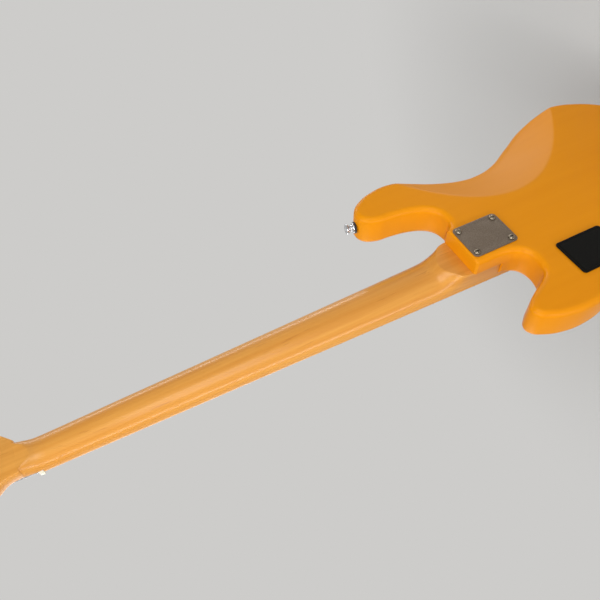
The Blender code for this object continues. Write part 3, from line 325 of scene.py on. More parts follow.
CHROME = fine_finish("polished_chrome", (0.000004, 500), ((196, 197, 200), (212, 213, 215), 60),
                     (0.06, 0.16, 220), Metallic=1.0)
SATIN = fine_finish("blasted_nickel", (0.00002, 2600), ((118, 104, 90), (134, 121, 107), 900),
                    (0.42, 0.56, 1500), detail=2.0, Metallic=0.85)
# The screws' base colour is painted darker and browner than the chrome: a painted dark reflection.
SCREWS = fine_finish("worn_chrome_screws", (0.00001, 900), ((118, 108, 92), (146, 136, 120), 300),
                     (0.1, 0.22, 400), Metallic=1.0)
STEEL = fine_finish("bright_steel", (0.00001, (900, 900, 60)),
                    ((178, 178, 180), (200, 200, 202), (200, 200, 40)), (0.18, 0.3, 400), Metallic=1.0)
BRASS = fine_finish("turned_brass", (0.00001, (600, 600, 2000)), ((200, 160, 88), (216, 178, 104), 300),
                    (0.22, 0.36, 400), Metallic=1.0)
BONE = fine_finish("polished_bone", (0.00001, (1200, 400, 400)),
                   ((232, 224, 198), (244, 238, 216), (500, 200, 200)), (0.28, 0.42, 300),
                   Subsurface_Weight=0.05)
BLACK = fine_finish("moulded_black_plastic", (0.00003, 2200), ((8, 8, 7), (14, 14, 11), 500),
                    (0.4, 0.55, 700), detail=2.0, Specular_IOR_Level=0.1)
GUARD = fine_finish("black_guard_plastic", (0.00001, 120), ((18, 18, 19), (26, 26, 27), 80),
                    (0.12, 0.24, 90), Specular_IOR_Level=0.4)
CELL = fine_finish("battery_jacket", (0.00001, 700), ((44, 46, 50), (56, 58, 62), 400),
                   (0.3, 0.44, 300), Metallic=0.3)
BOARD = fine_finish("green_circuit_board", (0.00003, 1500), ((18, 78, 44), (28, 104, 60), (900, 900, 300)),
                    (0.35, 0.5, 500))
WHITE = fine_finish("white_marking_paint", (0.00001, 900), ((222, 221, 214), (236, 235, 230), 400),
                    (0.4, 0.55, 300))
FELT = new_finish("pressed_black_felt", bump=uneven(0, 1, 3000, 4.0), bump_height=0.0002,
                  Base_Color=two_tone((16, 16, 17), (38, 38, 40), 2500, 4.0), Roughness=0.95,
                  Sheen_Weight=0.4)
# Painted shade: the grooves between the wraps are coloured darker than the crowns of the wire.
WOUND = new_finish("wound_nickel_wire", bump=wound_ridges, bump_height=0.00012,
                   Base_Color=lambda f: wound_ridges(f).blend(rgba(120, 116, 108), rgba(204, 199, 190)),
                   Metallic=1.0, Roughness=uneven(0.28, 0.4, 500))
BY_SLOT = {"butterscotch_lacquer": LACQUER, "amber_maple": MAPLE, "bone": BONE, "chrome": CHROME,
           "satin_nickel": SATIN, "steel": STEEL, "wound_nickel": WOUND, "brass": BRASS,
           "black_plastic": BLACK, "guard_plastic": GUARD, "black_felt": FELT, "battery_case": CELL,
           "circuit_board": BOARD}
SLOT_OF = {finish.name: slot for slot, finish in BY_SLOT.items()}
SLOT_OF.update({SCREWS.name: "chrome", WHITE.name: "bone"})
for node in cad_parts.values():
    old = node.data.materials[0].name.split(".")[0] if node.data.materials else ""
    if old in BY_SLOT:
        node.material_slots[0].material = BY_SLOT[old]
    else:
        print("no finish for", node.name, old)
print("finishes:", len(BY_SLOT))

# %% [markdown]
# A few helpers keep the modelling short. An operator acts on whatever is selected, so each one first
# selects just its piece. `choose` goes into edit mode and selects faces, edges or points by a test.
# Points closer than MERGE become one, and a cutter runs PAST the face that it goes through.

# %% Modelling helpers
MERGE = 0.000001
PAST = 0.01


def pick(piece):
    """Select one object only, in object mode."""
    if bpy.context.object and bpy.context.object.mode != "OBJECT":
        bpy.ops.object.mode_set(mode="OBJECT")
    bpy.ops.object.select_all(action="DESELECT")
    piece.select_set(True)
    bpy.context.view_layer.objects.active = piece


def choose(piece, test=None, kind="FACE"):
    """Go into edit mode with the elements selected that pass a test, or with everything."""
    pick(piece)
    bpy.ops.object.mode_set(mode="EDIT")
    bpy.ops.mesh.select_mode(type=kind)
    bpy.ops.mesh.select_all(action="SELECT" if test is None else "DESELECT")
    if test is None:
        return
    shape = bmesh.from_edit_mesh(piece.data)
    for item in {"FACE": shape.faces, "EDGE": shape.edges, "VERT": shape.verts}[kind]:
        if test(item):
            item.select_set(True)
    shape.select_flush_mode()
    bmesh.update_edit_mesh(piece.data)


def close_edit(piece, merge=None):
    """Leave edit mode, with doubles merged and faces outward where a merge distance is given."""
    if merge:
        bpy.ops.mesh.select_all(action="SELECT")
        bpy.ops.mesh.remove_doubles(threshold=merge)
        bpy.ops.mesh.normals_make_consistent(inside=False)
    bpy.ops.object.mode_set(mode="OBJECT")
    return piece


def modify(piece, kind, **settings):
    """Add a modifier and apply it."""
    pick(piece)
    modifier = piece.modifiers.new(kind.lower(), kind)
    for name, value in settings.items():
        setattr(modifier, name, value)
    bpy.ops.object.modifier_apply(modifier=modifier.name)
    return piece


def round_edges(piece, width, segments=2, angle=40.0):
    """Round every edge that is sharper than the angle."""
    return modify(piece, "BEVEL", width=width, segments=segments, limit_method="ANGLE",
                  angle_limit=radians(angle), use_clamp_overlap=True)


def bevel_edges(piece, test, width, segments):
    """Bevel just the edges that pass a test."""
    choose(piece, test, "EDGE")
    bpy.ops.mesh.bevel(offset=width, segments=segments, affect="EDGES")
    close_edit(piece)


def edges_at(axis, level, angle):
    """A test for sharp edges that lie in one plane across an axis."""
    return lambda edge: (all(abs(vert.co[axis] - level) < 1e-5 for vert in edge.verts)
                         and edge.calc_face_angle(0) > angle)


def slice_mesh(place, axis=0):
    """In edit mode, part every face along a plane across an axis."""
    at, normal = Vector(), Vector()
    at[axis] = place
    normal[axis] = 1.0
    bpy.ops.mesh.select_all(action="SELECT")
    bpy.ops.mesh.bisect(plane_co=at, plane_no=normal)


def drop(*pieces):
    """Remove objects that have done their work, such as cutters and patterns for copies."""
    for piece in pieces:
        bpy.data.objects.remove(piece, do_unlink=True)


def cut(piece, *others, operation="DIFFERENCE"):
    """Cut away, or join on, other objects, which are then gone."""
    for other in others:
        modify(piece, "BOOLEAN", operation=operation, solver="EXACT", object=other)
        drop(other)
    return piece


def apply_place(piece):
    """Move the object's place, turn and scale into its mesh."""
    pick(piece)
    bpy.ops.object.transform_apply(location=True, rotation=True, scale=True)
    return piece


def finished(piece, name, material, *nodes, slot=None, body="instrument", angle=35.0):
    """The last steps of every piece: place in the mesh, smooth shading, finish, and what it rides on."""
    apply_place(piece)
    bpy.ops.object.shade_smooth_by_angle(angle=radians(angle))
    piece.name = name
    piece.data.name = name
    piece.data.materials.clear()
    piece.data.materials.append(material)
    if body:
        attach(piece, body)
    if nodes:
        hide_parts(*nodes)
    return piece


def block(low, high):
    """A box between two corners."""
    low, high = Vector(low), Vector(high)
    bpy.ops.mesh.primitive_cube_add(size=1.0, location=(low + high) / 2)
    box = bpy.context.object
    box.scale = high - low
    return apply_place(box)


def rod(start, end, radius, sides=24):
    """A round bar from one point to another."""
    start, end = Vector(start), Vector(end)
    bpy.ops.mesh.primitive_cylinder_add(vertices=sides, radius=radius, depth=(end - start).length,
                                        location=(start + end) / 2)
    bar = bpy.context.object
    bar.rotation_euler = (end - start).to_track_quat("Z", "Y").to_euler()
    return apply_place(bar)


def pin(x, z, low, high, radius, sides=24):
    """A round bar from front to back."""
    return rod((x, low, z), (x, high, z), radius, sides)


def hex_nut(start, end, radius, hole):
    """A six-sided nut from one point to another."""
    start, end = Vector(start), Vector(end)
    past = (end - start).normalized() * PAST
    nut = cut(rod(start, end, radius, 6), rod(start - past, end + past, hole, 28))
    return round_edges(nut, 0.0003, 2, angle=50)


def drawn(outline, front, back, steps=None):
    """An outline in x and z, drawn as a curve, filled, and extruded from front to back."""
    curve = bpy.data.curves.new("outline", "CURVE")
    curve.dimensions = "2D"
    curve.fill_mode = "NONE"
    spline = curve.splines.new("BEZIER" if steps else "POLY")
    if steps:
        curve.resolution_u = steps
        spline.bezier_points.add(len(outline) - 1)
        for point, (x, z, *corner) in zip(spline.bezier_points, outline):
            point.co = (x, z, 0)
            point.handle_left_type = point.handle_right_type = "VECTOR" if corner else "AUTO"
    else:
        spline.points.add(len(outline) - 1)
        for point, (x, z) in zip(spline.points, outline):
            point.co = (x, z, 0, 1)
    spline.use_cyclic_u = True
    piece = bpy.data.objects.new("outline", curve)
    bpy.context.scene.collection.objects.link(piece)
    piece.rotation_euler = (pi / 2, 0, 0)
    piece.location = (0, front, 0)
    pick(piece)
    bpy.ops.object.convert(target="MESH")
    piece = apply_place(bpy.context.object)
    choose(piece)
    bpy.ops.mesh.edge_face_add()
    bpy.ops.mesh.extrude_region_move(TRANSFORM_OT_translate={"value": (0, back - front, 0)})
    return close_edit(piece, merge=MERGE)


def rounded(width, height, radius, centre=(0.0, 0.0), steps=6, tilt=0.0):
    """A rounded rectangle's outline in x and z."""
    points = []
    for sign_x, sign_z, quarter in ((1, 1, 0), (-1, 1, 1), (-1, -1, 2), (1, -1, 3)):
        for step in range(steps + 1):
            angle = pi / 2 * (quarter + step / steps)
            x = sign_x * (width / 2 - radius) + radius * cos(angle)
            z = sign_z * (height / 2 - radius) + radius * sin(angle)
            points.append((centre[0] + x * cos(tilt) - z * sin(tilt),
                           centre[1] + x * sin(tilt) + z * cos(tilt)))
    return points


def turned(profile, base=(0, 0, 0), axis=(0, 0, 1), steps=32):
    """Spin a chain of (radius, height) points round an axis, as on a lathe."""
    bpy.ops.mesh.primitive_plane_add(size=0.001)
    piece = bpy.context.object
    choose(piece, kind="VERT")
    bpy.ops.mesh.merge(type="CENTER")
    here = Vector((0, 0, 0))
    for number, (radius, height) in enumerate(profile):
        step = Vector((radius, 0, height)) - here
        here += step
        if number:
            bpy.ops.mesh.extrude_region_move(TRANSFORM_OT_translate={"value": step})
        else:
            bpy.ops.transform.translate(value=step)
    bpy.ops.mesh.select_all(action="SELECT")
    bpy.ops.mesh.spin(steps=steps, angle=2 * pi, center=(0, 0, 0), axis=(0, 0, 1))
    close_edit(piece, merge=MERGE)
    piece.rotation_euler = Vector(axis).to_track_quat("Z", "Y").to_euler()
    piece.location = base
    return apply_place(piece)


def copied(piece, matrix):
    """A copy with its own mesh, moved by a matrix."""
    twin = piece.copy()
    twin.data = piece.data.copy()
    bpy.context.scene.collection.objects.link(twin)
    twin.data.transform(matrix)
    return twin


def mix(a, b, t):
    """The value a fraction t of the way from a to b."""
    return a + (b - a) * t


# %% [markdown]
# The body is a slab of ash, 44.5 mm thick. On the real one the outline is routed, the rim is rounded
# with an 8 mm cutter, and two hollows are sanded: one in the back for the player's ribs, one in the
# front for the forearm. Here the outline is a curve, filled and extruded; its rims are beveled; then
# a grid of cuts gives the mesh enough points to sink the hollows, so that the rim follows them.
# A Boolean would cut the hollows faster, but it would leave their edge sharp.

# %% Body blank
BODY_OUTLINE = [
    (-0.0325, -0.52, True), (-0.0325, -0.534), (-0.0402, -0.5422), (-0.0509, -0.5426), (-0.0628, -0.5385),
    (-0.0725, -0.5279), (-0.0799, -0.5086), (-0.0835, -0.4868), (-0.086, -0.4645), (-0.0943, -0.4492),
    (-0.1065, -0.4447), (-0.119, -0.449), (-0.1303, -0.4632), (-0.1377, -0.4845), (-0.1397, -0.5058),
    (-0.1335, -0.5367), (-0.1209, -0.5737), (-0.1116, -0.6106), (-0.1106, -0.6357), (-0.1188, -0.6712),
    (-0.1418, -0.7156), (-0.1625, -0.7597), (-0.1679, -0.808), (-0.1566, -0.8474), (-0.1301, -0.8851),
    (-0.0815, -0.9261), (-0.018, -0.9545), (0.05, -0.962), (0.115, -0.948), (0.161, -0.906),
    (0.1769, -0.846), (0.167, -0.795), (0.14, -0.75), (0.121, -0.718), (0.118, -0.698),
    (0.1236, -0.6739), (0.1366, -0.6429), (0.1423, -0.608), (0.1403, -0.5809), (0.1328, -0.5576),
    (0.1241, -0.545), (0.1139, -0.5426), (0.1041, -0.5506), (0.0949, -0.5651), (0.0856, -0.5835),
    (0.0785, -0.5925), (0.0693, -0.596), (0.0583, -0.5971), (0.0467, -0.5944), (0.0385, -0.587),
    (0.0335, -0.572), (0.0325, -0.55), (0.0325, -0.52, True),
]
FRONT_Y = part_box("body")[0].y
BACK_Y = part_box("body")[1].y
HEEL_Z = -0.531
ROUND_OVER = 0.008
RIM_STEPS = 6
RIM_INSET = 0.0006
HEEL_ROUND = 0.0031
HEEL_STEPS = 5


def on_rim(edge):
    """An edge between the outline's wall and the front or back face."""
    levels = [vert.co.y for vert in edge.verts]
    flat = abs(levels[0] - levels[1]) < 0.00001
    return flat and len(edge.link_faces) == 2 and edge.calc_face_angle() > 1.0


body = drawn(BODY_OUTLINE, FRONT_Y, BACK_Y, steps=8)
bevel_edges(body, on_rim, ROUND_OVER, RIM_STEPS)
cut(body, block((-0.05, FRONT_Y - PAST, HEEL_Z), (0.05, BACK_Y + PAST, -0.5)))
bevel_edges(body, edges_at(2, HEEL_Z, 0.7), HEEL_ROUND, HEEL_STEPS)
choose(body, lambda face: abs(face.normal.y) > 0.999 and face.calc_area() > 0.01)
bpy.ops.mesh.inset(thickness=RIM_INSET)
close_edit(body)
print("body blank, faces:", len(body.data.polygons))

# %% [markdown]
# A hollow is part of a long cylinder whose straight side dips towards the bass edge. Its depth at any
# place is a formula, and a small softening turns the crease where it begins into a narrow roll.
# The points of the back sink by the whole depth, those of the side wall by their share.

# %% Belly and arm hollows
GRID = 0.004
SOFT = 0.0005
CREASE = 0.0018
# Axis, and the stretch along it that the hollows reach
HOLLOW_REACH = ((0, -1.0, -0.035), (2, -0.93, -0.44))
# Radius, slope, and where in x and z the dip begins
HOLLOWS = {
    "belly": (0.403, radians(15.0), (-0.0455, -0.655)),
    "arm": (0.33, radians(13.0), (-0.105, -0.835)),
}


def raw_depth(hollow, x, z):
    """Signed depth of a hollow: below zero outside it."""
    radius, slope, top = HOLLOWS[hollow]
    across = min(abs(z - top[1]), radius * 0.99)
    rise = radius - sqrt(radius ** 2 - across ** 2)
    return ((top[0] - x) * sin(slope) - rise) / cos(slope)


def soft_depth(hollow, x, z):
    """The depth with its crease rolled over; nothing once it is well outside."""
    depth = raw_depth(hollow, x, z)
    return 0.0 if depth < -8 * SOFT else (depth + sqrt(depth ** 2 + SOFT ** 2)) / 2


def sunk(co):
    """Where a point of the blank goes when both hollows are sanded."""
    low = FRONT_Y + ROUND_OVER
    high = BACK_Y - ROUND_OVER
    share = min(max((co.y - low) / (high - low), 0.0), 1.0)
    return co.y - soft_depth("belly", co.x, co.z) * share + soft_depth("arm", co.x, co.z) * (1 - share)


choose(body)
low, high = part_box("body")
for axis, first, last in HOLLOW_REACH:
    for step in range(1, int((high[axis] - low[axis]) / GRID) + 1):
        place = low[axis] + GRID * step
        if first < place < last:
            slice_mesh(place, axis)
close_edit(body)


def near_crease(face):
    """A face of the back or front that lies across a hollow's crease."""
    at = face.calc_center_median()
    hollow = "belly" if at.y > 0.03 else "arm"
    return abs(face.normal.y) > 0.95 and abs(raw_depth(hollow, at.x, at.z)) < CREASE


choose(body, near_crease)
bpy.ops.mesh.subdivide(number_cuts=2)
close_edit(body)
for vert in body.data.vertices:
    vert.co.y = sunk(vert.co)
print("body with hollows, faces:", len(body.data.polygons))

# %% [markdown]
# Now the routed places: the neck pocket and the two notches beside it, where the neck's side shows,
# the pickup and control cavities, the battery cavity in the back, and the screw holes. All are hidden
# or nearly so, but they let the other pieces sit inside the body as they really do. Booleans suit them.

# %% Pocket and cavities
GAP = 0.0003
NECK_END = -0.604
NUT_HALF = 0.01905
HEEL_HALF = 0.031
POCKET_FLOOR = 0.031
MOUTH_Z = -0.5
BATTERY_CENTRE = (0.0788, -0.6617)
FLANGE = (0.052, 0.068)
CONTROL_CENTRE = (0.098, -0.808)
CONTROL_SIZE = (0.042, 0.162)
CONTROL_TILT = radians(6.0)
CONTROL_WALL = 0.01
CONTROL_DEPTH = 0.0415
PICKUPS = {"neck": (0.046, -0.7115, -0.0004), "bridge": (0.0475, -0.803, -0.0008)}
PICKUP_DEPTH = 0.0305
PICKUP_HALF_WIDE = 0.00925
EAR_RADIUS = 0.0036
EAR_INSET = 0.008
EAR_STEPS = 12
PLATE_CENTRE_Z = -0.5651
SCREW_PLACES = [(x, PLATE_CENTRE_Z + z) for z in (0.0256, -0.0256) for x in (-0.01905, 0.01905)]


def half_width(z):
    """Half the neck's width, from the nut to the heel."""
    return mix(NUT_HALF, HEEL_HALF, min(max(z / NECK_END, 0.0), 1.0))


def pocket_outline(grow):
    """The neck's outline from its end to past the heel block, with room round it."""
    end, mouth = half_width(NECK_END) + grow, half_width(MOUTH_Z) + grow
    return [(-end, NECK_END - grow), (end, NECK_END - grow), (mouth, MOUTH_Z), (-mouth, MOUTH_Z)]


def pickup_outline(half, centre_z, grow=0.0):
    """A long narrow cover with four screw ears, two on each long side."""
    end, wide, ear = half + grow, PICKUP_HALF_WIDE + grow, EAR_RADIUS + grow
    points = []
    for side in (1, -1):
        points.append((side * end, centre_z + side * wide))
        for ear_x in (side * (end - EAR_INSET), -side * (end - EAR_INSET)):
            for step in range(EAR_STEPS + 1):
                angle = pi * step / EAR_STEPS
                points.append((ear_x + side * ear * cos(angle), centre_z + side * (wide + ear * sin(angle))))
    return points


def over_battery(inset, radius, low_y, high_y, steps=6):
    """A rounded block over the battery's place, its outline set in from the flange's."""
    outline = rounded(FLANGE[0] - inset, FLANGE[1] - inset, radius, BATTERY_CENTRE, steps)
    return drawn(outline, low_y, high_y)


cut(body, drawn(pocket_outline(GAP), FRONT_Y - PAST, POCKET_FLOOR + GAP),
    block((0.029, FRONT_Y - PAST, -0.573), (0.046, POCKET_FLOOR + GAP, MOUTH_Z)),
    block((-0.044, FRONT_Y - PAST, -0.5365), (-0.0285, POCKET_FLOOR + GAP, MOUTH_Z)))
for half, centre_z, top in PICKUPS.values():
    cut(body, drawn(pickup_outline(half, centre_z, 2 * GAP), FRONT_Y - PAST, PICKUP_DEPTH))
cut(body, drawn(rounded(CONTROL_SIZE[0] - CONTROL_WALL, CONTROL_SIZE[1] - CONTROL_WALL, 0.01,
                        CONTROL_CENTRE, 4, CONTROL_TILT), FRONT_Y - PAST, CONTROL_DEPTH),
    over_battery(0.0032, 0.0035, 0.0514, BACK_Y + PAST, 4),
    over_battery(0.0072, 0.0035, 0.0241, BACK_Y + PAST, 4))
for x, z in SCREW_PLACES:
    cut(body, pin(x, z, 0.0, BACK_Y + PAST, 0.0029, 16))
finished(body, "body_lacquered", LACQUER, "body", angle=32)
print("body finished, faces:", len(body.data.polygons))

# %% [markdown]
# The neck is one stick of maple. Its back is half an ellipse, which grows squarer at both ends: at the
# heel it is planed flat where it enters the pocket, and behind the nut it runs into the flat headstock.
# A grid is rolled into that shape: one direction of the grid goes round the section, the other up the
# neck, and a formula gives each point its place. The planed flats come from limiting the depth, which
# leaves the curved border that the photograph shows.

# %% Neck
BOARD_THICK = 0.006
HEAD_FRONT = 0.008
HEAD_BACK = 0.0225
# Height on the neck, depth of the back behind the board, squareness of the section
NECK_BACK = [
    (-0.604, 0.045, 6.0), (-0.531, 0.045, 6.0), (-0.5215, 0.0399, 4.0), (-0.512, 0.0283, 3.0),
    (-0.5055, 0.0262, 2.4), (-0.502, 0.0249, 2.2), (-0.498, 0.0229, 2.1), (-0.492, 0.0206, 2.0),
    (-0.485, 0.0192, 2.0), (-0.475, 0.0187, 2.0), (-0.45, 0.0185, 2.0), (-0.3, 0.017, 2.0),
    (-0.2, 0.016, 2.0), (-0.1, 0.0149, 2.0), (-0.035, 0.0138, 2.0), (-0.01, 0.0139, 2.0),
    (0.0, 0.0148, 2.05), (0.006, 0.0163, 2.3), (0.01, 0.0168, 2.6), (0.016, 0.017, 3.2),
    (0.021, 0.0178, 4.6), (0.026, 0.0185, 8.0),
]
ROUND_POINTS = 56
FLAT_POINTS = 8


def tangent(table, row, column):
    """The slope of a smooth line through a table's rows that never overshoots them."""
    if row in (0, len(table) - 1):
        return 0.0
    before, here, after = table[row - 1:row + 2]
    rise = (here[column] - before[column]) / (here[0] - before[0])
    next_rise = (after[column] - here[column]) / (after[0] - here[0])
    return 0.0 if rise * next_rise <= 0 else 2 * rise * next_rise / (rise + next_rise)


def along(table, z):
    """The table's values at a height, on smooth lines through its rows."""
    row = max(number for number in range(len(table) - 1) if number == 0 or table[number][0] <= z)
    low, high = table[row], table[row + 1]
    span = high[0] - low[0]
    t = min(max((z - low[0]) / span, 0.0), 1.0)
    values = []
    for column in range(1, len(low)):
        ease = t * t * (3 - 2 * t)
        bend = t * (1 - t) ** 2 * tangent(table, row, column)
        bend -= t * t * (1 - t) * tangent(table, row + 1, column)
        values.append(mix(low[column], high[column], ease) + span * bend)
    return values


def soft_limit(value, limit, roll=0.00012):
    """The smaller of two depths, with a narrow roll between them."""
    return (value + limit - sqrt((value - limit) ** 2 + roll ** 2)) / 2


def neck_point(turn, z):
    """A point of the neck's skin; turn runs from 0 to 1 round the section."""
    depth, square = along(NECK_BACK, z)
    top = mix(BOARD_THICK + GAP / 2, HEAD_FRONT, min(max((z - 0.006) / 0.014, 0.0), 1.0))
    half = half_width(z)
    back_share = ROUND_POINTS / (ROUND_POINTS + FLAT_POINTS)
    if turn >= back_share:
        return half * mix(-1, 1, (turn - back_share) / (1 - back_share)), top
    angle = pi * turn / back_share
    across = copysign(abs(cos(angle)) ** (2 / square), cos(angle))
    flat = POCKET_FLOOR + GAP / 2 if z < -0.3 else HEAD_BACK
    limit = flat if z < -0.45 or z > -0.02 else 1.0
    back = top + depth * abs(sin(angle)) ** (2 / square)
    return half * across, soft_limit(back, limit) if limit < 1.0 else back


columns = ROUND_POINTS + FLAT_POINTS
heights = [NECK_END]
while heights[-1] < 0.026 - 1e-6:
    near_end = heights[-1] < -0.49 or heights[-1] > -0.012
    heights.append(min(heights[-1] + (0.001 if near_end else 0.006), 0.026))
bpy.ops.mesh.primitive_grid_add(x_subdivisions=columns, y_subdivisions=len(heights) - 1, size=1.0)
neck = bpy.context.object
for vert in neck.data.vertices:
    column = round((vert.co.x + 0.5) * columns)
    z = heights[round((vert.co.y + 0.5) * (len(heights) - 1))]
    x, y = neck_point((column % columns) / columns, z)
    vert.co = (x, y, z)
choose(neck)
bpy.ops.mesh.remove_doubles(threshold=MERGE)
choose(neck, lambda edge: edge.is_boundary, "EDGE")
bpy.ops.mesh.edge_face_add()
close_edit(neck, merge=MERGE)
print("neck shaft, faces:", len(neck.data.polygons))

# %% [markdown]
# The headstock is sawn from the same stick, so it is joined to the shaft. Its outline widens from the
# nut and carries the tuners in one row. The holes for the posts, the truss rod's channel with its
# access slot, and the four screw holes in the heel are drilled after the two are one.

# %% Headstock and bores
HEAD_OUTLINE = [
    (-0.0195, 0.018, True), (-0.0235, 0.0215), (-0.031, 0.029), (-0.0388, 0.0385), (-0.0425, 0.048),
    (-0.0428, 0.059), (-0.033, 0.103), (-0.016, 0.181), (-0.011, 0.199), (-0.001, 0.2115),
    (0.011, 0.21405), (0.0195, 0.207), (0.023, 0.19), (0.0245, 0.16), (0.028, 0.118),
    (0.033, 0.079), (0.0335, 0.057), (0.0285, 0.0445), (0.0215, 0.033), (0.0195, 0.018, True),
]
STRINGS = ("E", "A", "D", "G")
TREE_PLACE = (0.0092, 0.08)
ROD_Y = 0.0132
posts = {}
for string in STRINGS:
    low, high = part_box(f"tuner_bushing_{string}")
    posts[string] = ((low.x + high.x) / 2, (low.z + high.z) / 2)

head = drawn(HEAD_OUTLINE, HEAD_FRONT, HEAD_BACK, steps=8)
round_edges(head, 0.0016, 3, angle=60)
cut(neck, head, operation="UNION")
cut(neck, rod((0, ROD_Y, -0.592), (0, ROD_Y, 0.03), 0.0034),
    block((-0.0032, 0.0, -0.5915), (0.0032, ROD_Y, -0.002)),
    drawn(rounded(0.011, 0.03, 0.004, (0.0, 0.037)), 0.0, ROD_Y + 0.0056),
    pin(*TREE_PLACE, 0.0, 0.0185, 0.0018))
for x, z in posts.values():
    cut(neck, pin(x, z, 0.0, HEAD_BACK + 0.01, 0.0092, 32))
for x, z in SCREW_PLACES:
    cut(neck, pin(x, z, 0.0105, 0.04, 0.0028, 16))
finished(neck, "neck_maple", MAPLE, "neck", angle=32)
print("neck finished, faces:", len(neck.data.polygons))

# %% [markdown]
# Small screws repeat all over a bass. One is modelled here, a domed head with a cross recess, at the
# origin with its head towards +Z, and each use is a copy moved into place by a matrix. The recess is
# two crossed bars that taper inwards, cut out of the head.

# %% Cross-recess screw
# Head radius, height of the dome, shaft radius and length
SCREW_SIZES = {
    "neck": (0.0043, 0.0024, 0.0023, 0.04), "strap": (0.0034, 0.0013, 0.0012, 0.002),
    "tuner": (0.0024, 0.001, 0.0012, 0.006), "cover": (0.0022, 0.0009, 0.001, 0.005),
    "guard": (0.003, 0.001, 0.0013, 0.008), "ear": (0.0023, 0.0009, 0.0012, 0.006),
    "control": (0.0029, 0.001, 0.0012, 0.006), "bridge": (0.003, 0.0011, 0.0015, 0.012),
    "intonation": (0.0022, 0.0021, 0.0015, 0.0415),
}
DOME_STEPS = 7


def cross_screw(head, dome, shaft, length):
    """A domed screw with a cross recess, its head's underside at height 0."""
    angles = [pi / 2 * step / DOME_STEPS for step in range(DOME_STEPS + 1)]
    crown = [(head * sin(angle), dome * cos(angle)) for angle in angles]
    screw = turned(crown + [(shaft, 0.0), (shaft, -length), (0.0, -length - shaft)], steps=28)
    arm, half_wide, bottom = head * 0.62, head * 0.14, dome * 0.25
    for turn in (0.0, pi / 2):
        bar = block((-arm, -half_wide, bottom), (arm, half_wide, dome * 1.5))
        choose(bar, lambda face: face.normal.z < -0.9)
        bpy.ops.transform.resize(value=(0.35, 0.6, 1.0), center_override=(0, 0, bottom))
        close_edit(bar)
        bar.rotation_euler = (0, 0, turn)
        cut(screw, apply_place(bar))
    return round_edges(screw, head * 0.04, 2, angle=50)


def seat_screws(kind, uses, axis=(0, -1, 0), finish=SCREWS):
    """Copies of one screw. A use is a name, a place, a turn and, for some, the node it stands for."""
    master = cross_screw(*SCREW_SIZES[kind])
    upright = Vector(axis).to_track_quat("Z", "Y").to_matrix().to_4x4()
    for name, place, turn, *nodes in uses:
        pose = Matrix.Translation(place) @ upright @ Matrix.Rotation(turn, 4, "Z")
        finished(copied(master, pose), name, finish, *nodes)
    drop(master)


plate_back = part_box("neck_plate")[1].y
seat_screws("neck", [(f"neck_screw_domed_{number}", (x, plate_back + GAP, z), 0.9 * number - 0.4,
                      f"neck_screw_{number}") for number, (x, z) in enumerate(SCREW_PLACES, 1)], (0, 1, 0))
print("neck screws:", len(SCREW_PLACES))

# %% [markdown]
# The neck plate spreads the pull of the four screws. It is stamped from steel sheet, so its edge and
# the rims of its holes are slightly rolled. The real plate is engraved; this one stays bare.

# %% Neck plate
low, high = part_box("neck_plate")
plate = drawn(rounded(high.x - low.x, high.z - low.z, 0.0055, (0, PLATE_CENTRE_Z), 8), low.y, high.y)
for x, z in SCREW_PLACES:
    cut(plate, pin(x, z, 0.0, 0.08, 0.0028))
round_edges(plate, 0.00045, 3, angle=60)
finished(plate, "neck_plate_stamped", SATIN, "neck_plate")

# %% [markdown]
# The strap button is turned from brass and plated: a flange to sit on its felt washer, a waist for
# the strap, and a broad rounded cap. Its screw sits in the cap with a cross recess. Both buttons
# are the same turning, so the profile is written once.

# %% Strap buttons and felts
STRAP_Y = (FRONT_Y + BACK_Y) / 2
STRAPS = {"upper": ((-0.1062, STRAP_Y, -0.4446), radians(12.0)),
          "lower": ((0.025, STRAP_Y, -0.9622), radians(184.0))}
BUTTON = [(0.0, 0.0118), (0.003, 0.012), (0.0044, 0.013), (0.0058, 0.0133), (0.0068, 0.0129),
          (0.0073, 0.012), (0.0072, 0.0111), (0.0064, 0.0101), (0.0048, 0.009), (0.0039, 0.0078),
          (0.0037, 0.0067), (0.0042, 0.0056), (0.0055, 0.0046), (0.0066, 0.0041), (0.0069, 0.0036),
          (0.0069, 0.0027), (0.002, 0.0027), (0.002, -0.023), (0.0, -0.025)]
BUTTON_SEAT = 0.0121
WASHER = [(0.0077, 0.0024), (0.0078, 0.0014), (0.0077, 0.0004), (0.0028, 0.0004), (0.0028, 0.0024),
          (0.0077, 0.0024)]
for name, (base, angle) in STRAPS.items():
    axis = Vector((-sin(angle), 0.0, cos(angle)))
    finished(turned(WASHER, base, axis, 32), f"strap_felt_{name}_washer", FELT, f"strap_felt_{name}")
    button = round_edges(turned(BUTTON, base, axis, 40), 0.0002, 2)
    finished(button, f"strap_button_{name}_turned", CHROME, f"strap_button_{name}")
    seat_screws("strap", [(f"strap_screw_{name}", Vector(base) + axis * BUTTON_SEAT, 0.7)], axis, CHROME)
print("strap buttons:", len(STRAPS))

# %% [markdown]
# The battery box is a moulded tub let into the back, with a raised rim round a lid that swings on two
# small pins. The lid is round at its hinge and has a thumb notch. The real lid carries a faint mark,
# which is left off here. The tub is drawn as outlines joined and cut; the lid rides on its hinge.

# %% Battery box and lid
LEDGE = 0.0536
BOX_OPEN = 0.06
LID_INSET = 0.0032
RECESS_INSET = 0.0028
NOTCH_RADIUS = 0.007
cx, cz = BATTERY_CENTRE
box_low, box_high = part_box("battery_box")
lid_low, lid_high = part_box("battery_lid")
lid_thick = lid_high.y - lid_low.y
lid_half = FLANGE[0] / 2 - LID_INSET
hinge_y = (lid_low.y + lid_high.y) / 2
hinge_z = lid_high.z - lid_thick / 2


def hinge_rod(past, radius, sides):
    """A rod along the lid's hinge, reaching past both sides of the lid."""
    half = lid_half + past
    return rod((cx - half, hinge_y, hinge_z), (cx + half, hinge_y, hinge_z), radius, sides)


